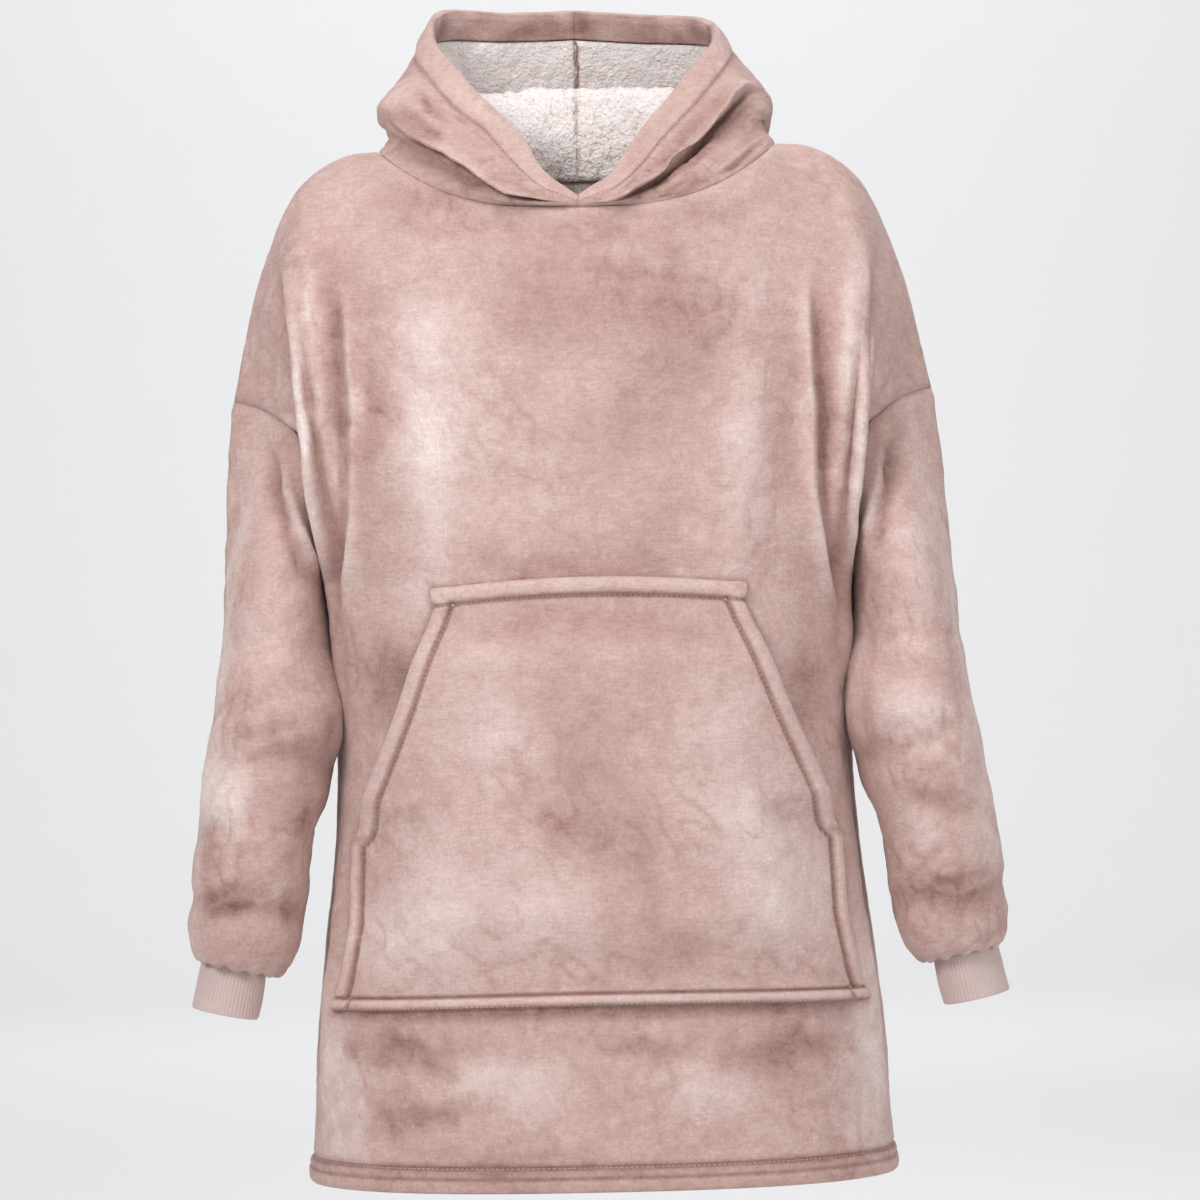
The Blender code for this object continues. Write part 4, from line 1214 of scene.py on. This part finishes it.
def body_panel(name, side, columns, yoke_rows, torso_rows, lines, steps, tones):
    half = np.linspace(0, 1, columns)
    across = np.concatenate([-half[:0:-1], half])
    hem = 2 - np.array(HEM_ROWS) / (UNDERARM_Z - HEM_Z)
    rows = np.concatenate([np.linspace(0, 1, yoke_rows), np.linspace(1, hem[0], torso_rows)[1:], hem[1:]])
    rows[0] += HALF_SEAM / 320
    a, d = np.meshgrid(np.abs(across), rows)
    face = panel(a, d, side)
    out = side * normals(lambda p, q: panel(p, q, side), a, d, (0, 1), (0, 2))
    out[0, np.abs(across) > NECK_POINT_ACROSS - 0.02, 1] = 0
    from_top = lengths_from(face, 0, "start")
    kink = bell((a - NECK_POINT_ACROSS) / 0.09) * ramp((from_top - 3) / 30) * (d < 1.2)
    face, out = eased(face, kink), unit(eased(out, kink))
    face[0, np.abs(across) > NECK_POINT_ACROSS, 1] -= side * 0.25
    face[:, [0, -1], 1] -= side * 0.1
    for grid in (face, out):
        grid[..., 0] *= np.sign(across)[None, :]
    x, z = face[..., 0], face[..., 2]
    above_hem = z - HEM_Z
    from_edge = np.minimum(lengths_from(face, 1, "start"), lengths_from(face, 1, "end"))
    from_edge = np.minimum(from_edge, from_top)

    band = plateau(above_hem, HEM_BAND) * HEM_PUFF * (d > 1) * (1 + 0.35 * ripple(face, 34, 13))
    lift = band - 1.8 * bell((above_hem - HEM_BAND) / 2.0) - 1.1 * bell((above_hem - HEM_LINE) / 1.5)
    lift = lift - 1.6 * np.clip((1.5 - above_hem) / 1.5, 0, 1) ** 2 + sewn_edge(from_edge)
    folds = soft_lines(lines, x + uneven(face, (2, 40, 18)), z + uneven(face, (2, 38, 19)))
    folds = folds + fold_steps(steps, x + uneven(face, (0.8, 60, 18)), z)
    free = ramp(from_edge / 26) * ramp((above_hem - HEM_BAND) / 20)
    wrinkles = crumple(face, 34, 20)
    form = folds + free * (uneven(face, (1.1, 95, 14), (0.6, 42, 15)) + 0.9 * wrinkles)
    lift = lift + form + uneven(face, (0.16, 17, 16), (0.10, 9, 17)) + 0.35 * crumple(face, 13, 21)

    # Tone: brushed patches, painted shade in the fold troughs, crumple creases and hem grooves, painted
    # highlights on the fold ridges, and the hem band darker
    nap_and_shade = patches(tones, *warped(face, x, z, 8, 111)) + painted_fold_shade(folds) + 0.35 * wrinkles
    nap_and_shade = nap_and_shade + 0.05 * fold_height(a, d, side) - 0.22 * ramp((HEM_BAND - above_hem) / 4)
    nap_and_shade = nap_and_shade - 1.3 * bell((above_hem - HEM_BAND) / 2.6) - 0.8 * bell((above_hem - HEM_LINE) / 1.8)
    # Painted shadow along the pocket's edge, darkest under the pocket
    if side == FRONT:
        past_ends = np.maximum(z - POCKET_TOP_Z, POCKET_BOTTOM_Z - z)
        past_pocket = np.maximum(np.abs(x) - pocket_half(z), past_ends)
        nap_and_shade = nap_and_shade - 0.85 * bell(np.maximum(past_pocket, 0) / 5.0)
    pile = curls(face, 8.0, 3.0)
    outer = face + out * lift[..., None]
    inner = face + out * (form - SHELL_CLOTH + 0.6 - 1.5 * pile * ramp(above_hem / 8))[..., None]
    # Lining tone: painted shade between the curls of pile and painted shade inside near the top edge
    inner_nap_and_shade = 1.3 * pile - 0.7 - 0.5 * bell(from_top / 90)
    sherpa_rows = above_hem[:, 0] > 16
    piece = wall(name, "_cloth", "fleece", outer, inner, (nap_and_shade, inner_nap_and_shade), [FLEECE, SHERPA], sherpa_rows)
    row = int(np.argmin(np.abs(above_hem[:, 0] - HEM_BAND)))
    return piece, (outer[row] + out[row] * THREAD_PROUD, out[row])


# The sleeves


def sleeve(name, side, around, rows_top, rows_down, lines, steps, tones):
    turns = np.arange(around) * 360 / around
    below = np.linspace(0, 1, rows_down)[1:]
    below = 1 + LAST_RING * (below + 0.09 * np.sin(np.pi * below) * below)
    t, w = np.meshgrid(turns, np.concatenate([np.linspace(0, 1, rows_top), below]))
    face = sleeve_face(t, w)
    out = sleeve_normals(sleeve_face, t, w)
    from_seam = lengths_from(face, 0, "start")
    face = tucked(face, out)
    left = LAST_RING - w
    turn = (np.mod(t + 90, 360) - 90) * 0.9
    near = turn + ripple(face, 44, 21 + side), face[..., 2] + ripple(face, 40, 23 + side)

    free = ramp(w / 0.3) * ramp((left + 1) / 0.6)
    wrinkles = free * crumple(face, 30, 31 + side)
    pleats = np.sin(np.radians(t) * 29 + 2.2 * np.sin(np.radians(t) * 3)) * np.clip((0.4 - left) / 1.4, 0, 1)
    folds = (soft_lines(lines, *near) + fold_steps(steps, *near)) * free
    form = folds + 0.9 * pleats + free * uneven(face, (1.0, 70, 25 + side), (0.7, 32, 27 + side))
    form = (form + 1.2 * wrinkles) * np.clip((left + 1.02) / 0.25, 0, 1)
    fine = 0.4 * crumple(face, 12, 33) + uneven(face, (0.16, 15, 29), (0.10, 8, 30))
    lift = form + sewn_edge(from_seam) + free * fine
    # Tone: brushed patches, painted shade in the fold troughs, crumple creases and sleeve creases, painted
    # highlights on the fold ridges
    nap_and_shade = patches(tones, *warped(face, turn, face[..., 2], 6, 121 + 10 * side)) + painted_fold_shade(folds)
    nap_and_shade = nap_and_shade + 0.4 * wrinkles - 0.07 * crease_depth(t, face[..., 2]) * free
    pile = curls(face, 8.0, 5.0)
    outer = face + out * lift[..., None]
    inner = face + out * (form - SHELL_CLOTH + 0.5 - 1.2 * pile)[..., None]
    for grid in (outer, inner):
        grid[..., 0] *= side
    # Lining tone: painted shade between the curls of pile
    looks = (nap_and_shade, 1.3 * pile - 0.7), [FLEECE, SHERPA], np.ones(len(w))
    return wall(name, "_cloth", "fleece", outer, inner, *looks, around=True)


def cuff(name, side, around=270, ribs=54):
    turns = np.radians(np.arange(around) * 360 / around)
    shares = np.concatenate([np.linspace(0, 0.9, 14), [0.94, 0.97, 0.985, 0.995, 1.0]])[:, None]
    hem = np.clip((shares - 0.94) / 0.06, 0, 1)
    soft = 0.5 * np.sin(turns * 3 + 1.0 + side) * shares
    soft = soft + 0.35 * np.sin(turns * 5 + 2.0) * np.sin(shares * 7)
    radii = spline([0, 0.4, 1], CUFF_RADII, shares) - 1.0 * hem**3 + soft
    rib = 0.24 * np.sin(turns * ribs) * (1 - hem)
    grids = []
    for r in (radii + rib, radii - CUFF_CLOTH - rib):
        x = r * np.cos(turns)
        spin = stack(x, -r * np.sin(turns), x * np.tan(np.radians(CUFF_TILT)))
        middle = np.array(CUFF_TOP) + np.subtract(CUFF_BOTTOM, CUFF_TOP) * shares
        grids.append((middle[:, None] + spin) * (side, 1, 1))
    # Painted shade on the ribs: rib tops lighter and the hollows between them darker
    tone = np.broadcast_to(0.5 * np.sin(turns * ribs), radii.shape)
    return wall(name, "_knit", "knit", *grids, (tone, tone), [KNIT], around=True)


# The hood


def hood_stations(count):
    edge = np.degrees(HALF_SEAM / 100)
    share = np.linspace(0, 1, count)
    wave = np.sin(2 * np.pi * (share - CORNER_SHARE)) + np.sin(2 * np.pi * CORNER_SHARE)
    return edge + (180 - 2 * edge) * (share - CORNER_CROWDING * wave)


def hood_folds(face, at, part, side, lines, steps):
    """The lift of the folds over the hood's cloth, the same for the cloth and for its lining."""
    near = at + uneven(face, (0.6, 40, 41 + side)), part * 100 + ripple(face, 36, 43 + side)
    on_cloth = ramp((0.97 - part) / 0.1) * ramp(part / 0.06)
    return (soft_lines(lines, *near) + fold_steps(steps, *near)) * on_cloth, on_cloth


def hood_half(name, side, count, rows_up, lines, steps, tones):
    """Half of the hood's outer cloth, up to its stitches and over its padded band."""
    stations = hood_stations(count)
    shares = np.linspace(0, 1, rows_up)
    face, out = hood_grid(stations, side, shares, HOOD_BAND_SHARES)
    at, part = np.meshgrid(stations, np.concatenate([shares, 1 + np.array(HOOD_BAND_SHARES)]), indexing="ij")
    seams = np.minimum(lengths_from(face, 0, "end"), lengths_from(face, 1, "start"))
    face = tucked(face.swapaxes(0, 1), out.swapaxes(0, 1), 0.8, 1.6).swapaxes(0, 1)
    face[[0, -1], :, 0] = -side * 0.1

    soft = np.clip(at / THROAT_LENGTH, 0, 1)
    on_band = ramp((part - 1.02) / 0.2)
    proud = np.interp(part, *np.transpose(HOOD_BAND_PROUD)) * (part >= 1)
    proud = proud - STITCH_DIP * bell((part - 1) / 0.02) * (part < 1)
    folds, on_cloth = hood_folds(face, at, part, side, lines, steps)
    wrinkles = crumple(face, 26, 57 + side)
    wave = uneven(face, (1.0, 60, 45 + side), (0.6, 28, 47 + side)) + 1.1 * wrinkles
    band_wave = uneven(face, (0.7, 36, 49 + side), (0.35, 18, 51 + side))
    lift = folds + soft * (proud + on_cloth * wave + on_band * band_wave + sewn_edge(seams))
    lift = lift + uneven(face, (0.14, 12, 53), (0.1, 7, 54))
    # Tone: brushed patches, painted shade in the fold troughs, crumple creases and the stitch groove, painted
    # highlights on the fold ridges, the cloth darker overall and its band lighter
    nap_and_shade = patches(tones, *warped(face, at, part * 100, 2.5, 141 + 10 * side)) + painted_fold_shade(folds, 0.17, 0.02)
    nap_and_shade = nap_and_shade - 0.14 + 0.16 * on_band - 0.6 * bell((part - 1) / 0.035) + 0.4 * on_cloth * wrinkles
    outer = face + out * lift[..., None]

    thick = HOOD_BAND_THROAT + (HOOD_BAND_THICK - HOOD_BAND_THROAT) * soft
    depth = SHELL_CLOTH + np.interp(part, *np.transpose(HOOD_BAND_FILL)) * (thick - SHELL_CLOTH)
    inner = face + out * (folds - depth - uneven(face, (0.3, 20, 56)))[..., None]
    inner_nap_and_shade = uneven(face, (0.5, 30, 55)) - 0.35
    piece = wall(name, "_cloth", "fleece", outer, inner, (nap_and_shade, inner_nap_and_shade), [FLEECE])
    rim = outer[2:, rows_up - 1], out[2:, rows_up - 1]
    return piece, (rim[0] + rim[1] * THREAD_PROUD, rim[1])


def hood_lining(name, side, count, lines, steps):
    """Half of the hood's sherpa, which follows the outer cloth's folds and stops at the stitches."""
    stations = hood_stations(2 * count - 1)
    shares = np.linspace(0, 1, 90)
    last = len(shares) - 1
    keep = stations > LINING_STARTS_AT
    face, out = (grid[keep, : last + 1] for grid in hood_grid(stations, side, shares, [0.06, 0.2]))
    face[:, last] += 0.06 * (face[:, last - 1] - face[:, last])
    face[-1, :, 0] = -side * 0.1
    at, part = np.meshgrid(stations[keep], shares, indexing="ij")
    folds, _ = hood_folds(face, at, part, side, lines, steps)
    near = SHELL_CLOTH + LINING_GAP
    pile = 0.65 * curls(face, 9.0, 7.0) + 0.35 * curls(face, 4.5, 9.0)
    centre = lengths_from(face, 0, "end")
    tufts = uneven(face, (0.9, 48, 61), (0.5, 22, 62))
    far = near + LINING_CLOTH - 1.4 + (2.6 * pile + tufts) * ramp((centre + 2) / 9)
    outer, inner = (face + out * (folds - depth)[..., None] for depth in (near, far))
    # Painted shade between the curls, along the centre seam and at the foot by the neck; painted light over
    # the upper lining
    nap_and_shade = 0.8 * pile - 0.52 + 0.2 * tufts - 0.5 * bell(centre / 3)
    nap_and_shade = nap_and_shade + 0.95 * ramp((part - 0.45) / 0.3) - 0.5 * bell(part / 0.12)
    return wall(name, "_cloth", "sherpa", outer, inner, (nap_and_shade, nap_and_shade), [SHERPA])


# The pocket


def pocket_shape(x, z):
    """Outer and inner faces of the pocket at these places, its outward directions and its tone: brushed
    patches, painted shade in its grooves and creases and painted highlights on its ridges and puffed bands.
    """
    half = pocket_half(z)
    to_side, to_top, to_bottom = half - np.abs(x), POCKET_TOP_Z - z, z - POCKET_BOTTOM_Z
    above_mouth_foot = z - POCKET_MOUTH_BOTTOM_Z
    bow = np.clip(1 - (x / half) ** 2, 0, 1)
    place = z + bow * (8.0 * ramp((90 - to_top) / 90) + 6.0 * ramp((70 - to_bottom) / 70))
    across = front_at(x, place)
    down = 1 + (UNDERARM_Z - place) / (UNDERARM_Z - HEM_Z)
    face = panel(across, down, FRONT)
    out = FRONT * normals(lambda p, q: panel(p, q, FRONT), across, down, (0, 1), (0, 2))
    for grid in (face, out):
        grid[..., 0] *= np.where(x < 0, -1, 1)

    open_here = ramp((POCKET_MOUTH_TOP_Z - z) / 30) * ramp(above_mouth_foot / 30)
    side_lift = open_here * (0.7 + 0.3 * ramp(to_side / 60)) + (1 - open_here) * ramp((to_side - 15) / 70)
    room = POCKET_SEAT + POCKET_ROOM * side_lift * ramp((to_top - 15) / 55) * ramp((to_bottom - 15) / 70)
    side_band = POCKET_BAND - 5.0 * ramp((-4 - above_mouth_foot) / 10)
    bands = (to_side, side_band), (to_top, POCKET_BAND), (to_bottom, POCKET_LOW_BAND)
    puff = np.max([plateau(*band) for band in bands], axis=0)
    free = np.prod([ramp((distance - band) / 14) for distance, band in bands], axis=0)
    dip = bell((to_side - side_band) / 1.6) * ramp((to_top - 12) / 3) * ramp((to_bottom - 9) / 3)
    dip = dip + bell((to_top - POCKET_BAND) / 1.5) + bell((to_bottom - POCKET_LOW_BAND) / 1.4)
    dip = dip + 0.9 * bell((to_bottom - 1.0) / 1.5)
    dip = dip + 0.9 * bell((above_mouth_foot + 7) / 1.6) * plateau(to_side, POCKET_BAND)
    dip = dip + 0.8 * bell((to_side - POCKET_BAND) / 1.5) * plateau(to_bottom, POCKET_LOW_BAND)
    marks = bell((np.abs(x) - POCKET_TACK_X) / 0.9) * plateau(to_top, POCKET_BAND)
    knots = bell(np.hypot(to_side - 7, to_bottom - 5.5) / 5)
    knots = knots + bell(np.hypot(to_side - 6, above_mouth_foot + 1) / 5)
    lines = soft_lines(POCKET_LINES, x + uneven(face, (2, 55, 31)), z + uneven(face, (2, 60, 32)))
    wrinkles = crumple(face, 32, 38)
    form = free * (uneven(face, (0.9, 70, 34), (0.45, 30, 35)) + 0.7 * wrinkles)
    relief = POCKET_BAND_PUFF * puff + 1.6 * knots - 2.4 * dip - 1.3 * marks
    fine = uneven(face, (0.14, 14, 36), (0.09, 8, 37)) + 0.3 * crumple(face, 12, 39)
    lift = room + SHELL_CLOTH + relief + lines + form + fine + 0.5 * puff * ripple(face, 24, 33)
    to_edge = np.minimum(to_side, np.minimum(to_top, to_bottom))
    lift = lift - 1.6 * np.clip((1.6 - to_edge) / 1.6, 0, 1) ** 2
    # Tone: brushed patches, painted highlights on the ridges and puffed bands, painted shade in the troughs,
    # stitch dips and crumple creases
    nap_and_shade = patches(POCKET_NAP_AND_SHADE, *warped(face, x, z, 7, 161)) + 0.14 * lines + 0.22 * puff
    nap_and_shade = nap_and_shade - 1.5 * dip + 0.4 * free * wrinkles
    return face + out * lift[..., None], face + out * (room + form + lines)[..., None], out, nap_and_shade


def pocket(columns, rows_down):
    edge = np.concatenate([[0, 0.5, 1.0, 1.6], np.linspace(2.4, 19, 13)])
    middle = np.linspace(POCKET_TOP_Z - edge[-1], POCKET_BOTTOM_Z + edge[-1], rows_down)[1:-1]
    heights = np.concatenate([POCKET_TOP_Z - edge, middle, (POCKET_BOTTOM_Z + edge)[::-1]])
    half = pocket_half(heights)[:, None]
    right = np.concatenate([np.linspace(0, 1, columns)[:-1] * (half - edge[-1]), half - edge[::-1]], axis=1)
    x = np.concatenate([-right[:, :0:-1], right], axis=1)
    outer, inner, _, nap_and_shade = pocket_shape(x, np.broadcast_to(heights[:, None], x.shape))
    looks = (nap_and_shade, 0 * nap_and_shade), [FLEECE, SHERPA], np.ones(len(heights))
    return wall("pocket", "_pouch", "fleece", outer, inner, *looks)


def pocket_stitch_lines():
    """Rows along the bands and the foot, then for each side its two bands and the tack at the top."""
    top, bottom, mouth = POCKET_TOP_Z, POCKET_BOTTOM_Z, POCKET_MOUTH_BOTTOM_Z
    paths = []
    for z, reach in ((top - POCKET_BAND, 2), (bottom + POCKET_LOW_BAND, 2), (bottom + 2.0, 3)):
        half = pocket_half(z) - reach
        paths.append((np.linspace(-half, half, 120), np.full(120, z)))
    for side in (-1, 1):
        upper = np.linspace(top - POCKET_BAND - 2, mouth - 3, 90)
        lower = np.linspace(mouth - 12, bottom + POCKET_BAND, 90)
        tack = np.linspace(top - 2, top - POCKET_BAND + 1, 12)
        paths.append((side * (pocket_half(upper) - POCKET_BAND), upper))
        paths.append((side * (pocket_half(lower) - POCKET_BAND + 5.0), lower))
        paths.append((np.full(12, side * POCKET_TACK_X), tack))
    lines = []
    for x, z in paths:
        outer, _, out, _ = pocket_shape(x[:, None], z[:, None])
        lines.append((outer[:, 0] + out[:, 0] * THREAD_PROUD, out[:, 0]))
    return lines


# The hood's centre seam, whose rose pile pokes through the lining


def ragged_seam(rings=160, turns=12):
    places = np.linspace(0.30, 1.0, rings)
    sections = hood_section(179.7, RIGHT, places, [0.5])[:rings]
    out = np.cross(unit(np.gradient(sections, axis=0)), [1.0, 0, 0])
    half_up = sections[rings // 2] - [0, 0, sections[:, 2].mean()]
    if (out[rings // 2] * half_up).sum() < 0:
        out = -out
    rng = np.random.default_rng(71)
    count = np.arange(rings)
    shift = np.interp(count, np.arange(0, 161, 4), rng.normal(0, 1.9, 41))
    size = 0.95 + 0.35 * np.interp(count, np.arange(0, 161, 3), rng.normal(0, 1, 54))
    turn = np.arange(turns) * 2 * np.pi / turns
    ring_x = shift[:, None] + np.clip(size, 0.5, 2.0)[:, None] * np.cos(turn)
    ring_in = np.sin(turn) + 0.35 * rng.normal(size=(rings, turns))
    depth = SHELL_CLOTH + LINING_GAP + LINING_CLOTH + 0.2 + ring_in
    points = sections[:, None, :] - out[:, None, :] * depth[..., None]
    points[..., 0] = ring_x + 0.35 * rng.normal(size=(rings, turns))
    points = points.reshape(-1, 3)
    quads = tube_faces(rings, turns, [(0, k, k + 1, k + 2) for k in range(1, turns - 1, 2)])
    looks = [FLEECE], np.zeros(len(quads)), np.full(len(points), -0.45)
    return plain_mesh("hood_seam_pile", "fleece", points, quads, *looks)


# Setting, in metres: a floor that curves up into a wall, five soft lamps and the camera

FLOOR_Z = -1.25
FLOOR_HALF_WIDTH = 14.0
FLOOR_ENDS = (-14.0, 7.0)
FLOOR_BEND = 2.0
WALL_TOP = 7.0
FLOOR_LOOKS = {"Base Color": (0.80, 0.80, 0.80, 1), "Roughness": 0.95, "Specular IOR Level": 0.1}
SKY = {"Color": (0.95, 0.96, 1.0, 1), "Strength": 0.42}
LAMPS = named(
    "name place aim size power",
    ("key", (-2.2, -3.0, 1.7), (0, 0, -0.4), 1.5, 93),
    ("fill", (2.6, -3.0, 0.2), (0, 0, -0.5), 2.2, 42),
    ("top", (0.1, -0.9, 2.3), (0, 0, -0.2), 1.5, 36),
    ("rim", (0.5, 2.6, 1.6), (0, 0, -0.3), 2.0, 40),
    ("backdrop", (0, 4.6, 3.2), (0, 9.0, 0.0), 3.0, 150),
)
CAMERA_PLACE = (0.00704, -4.8, -0.396)
CAMERA_TURN = -1.25
CAMERA_LENS = 163.6


def sweep():
    profile = [(y, FLOOR_Z) for y in FLOOR_ENDS]
    for a in np.radians(np.arange(10, 91, 10)):
        profile.append((FLOOR_ENDS[1] + FLOOR_BEND * np.sin(a), FLOOR_Z + FLOOR_BEND * (1 - np.cos(a))))
    profile.append((FLOOR_ENDS[1] + FLOOR_BEND, WALL_TOP))
    points = [(x, y, z) for y, z in profile for x in (-FLOOR_HALF_WIDTH, FLOOR_HALF_WIDTH)]
    faces = [(2 * k, 2 * k + 1, 2 * k + 3, 2 * k + 2) for k in range(len(profile) - 1)]
    mesh = bpy.data.meshes.new("floor")
    mesh.from_pydata(points, [], faces)
    mesh.shade_smooth()
    material = bpy.data.materials.new("pale_floor")
    material.use_nodes = True
    feed(material.node_tree, material.node_tree.nodes["Principled BSDF"], FLOOR_LOOKS)
    mesh.materials.append(material)
    placed("floor", mesh)


def lamp(name, place, aim, size, power):
    light = bpy.data.lights.new(name, "AREA")
    light.shape = "DISK"
    light.size = size
    light.energy = power
    made = placed(name, light)
    made.location = place
    x, y, z = np.subtract(place, aim)
    made.rotation_euler = (np.arctan2(np.hypot(x, y), z), 0, np.arctan2(x, -y))


def setting():
    sweep()
    world = bpy.data.worlds.new("studio")
    world.use_nodes = True
    feed(world.node_tree, world.node_tree.nodes["Background"], SKY)
    bpy.context.scene.world = world
    bpy.context.scene.view_settings.view_transform = "Standard"
    for row in LAMPS:
        lamp(**row)
    camera = bpy.data.cameras.new("photo_view")
    camera.sensor_width = 36.0
    camera.lens = CAMERA_LENS
    eye = placed("photo_view", camera)
    eye.location = CAMERA_PLACE
    eye.rotation_mode = "QUATERNION"
    upright = Quaternion((1, 0, 0), np.radians(90))
    eye.rotation_quaternion = upright @ Quaternion((0, 0, 1), np.radians(CAMERA_TURN))
    bpy.context.scene.camera = eye


def main():
    front, front_hem = body_panel("front_panel", FRONT, 106, 74, 112, FRONT_LINES, FRONT_STEPS, FRONT_NAP_AND_SHADE)
    rear, rear_hem = body_panel("back_panel", BACK, 92, 66, 100, BACK_LINES, BACK_STEPS, BACK_NAP_AND_SHADE)
    pouch = pocket(56, 86)
    hem_stitches = stitches("hem_stitches", [front_hem, rear_hem])
    pocket_stitches = stitches("pocket_stitches", pocket_stitch_lines())
    rims = []
    for side, way in ((LEFT, "left"), (RIGHT, "right")):
        arm_looks = SLEEVE_LINES[side], SLEEVE_STEPS[side], SLEEVE_NAP_AND_SHADE[side]
        arm = sleeve("sleeve_" + way, side, 176, 24, 110, *arm_looks)
        end = cuff("cuff_" + way, side)
        folds = HOOD_LINES[side], HOOD_STEPS[side]
        hood, rim = hood_half("hood_" + way, side, 118, 100, *folds, HOOD_NAP_AND_SHADE[side])
        lining = hood_lining("hood_lining_" + way, side, 118, *folds)
        rims.append(rim)
    stitches("hood_stitches", rims)
    ragged_seam()
    setting()


main()
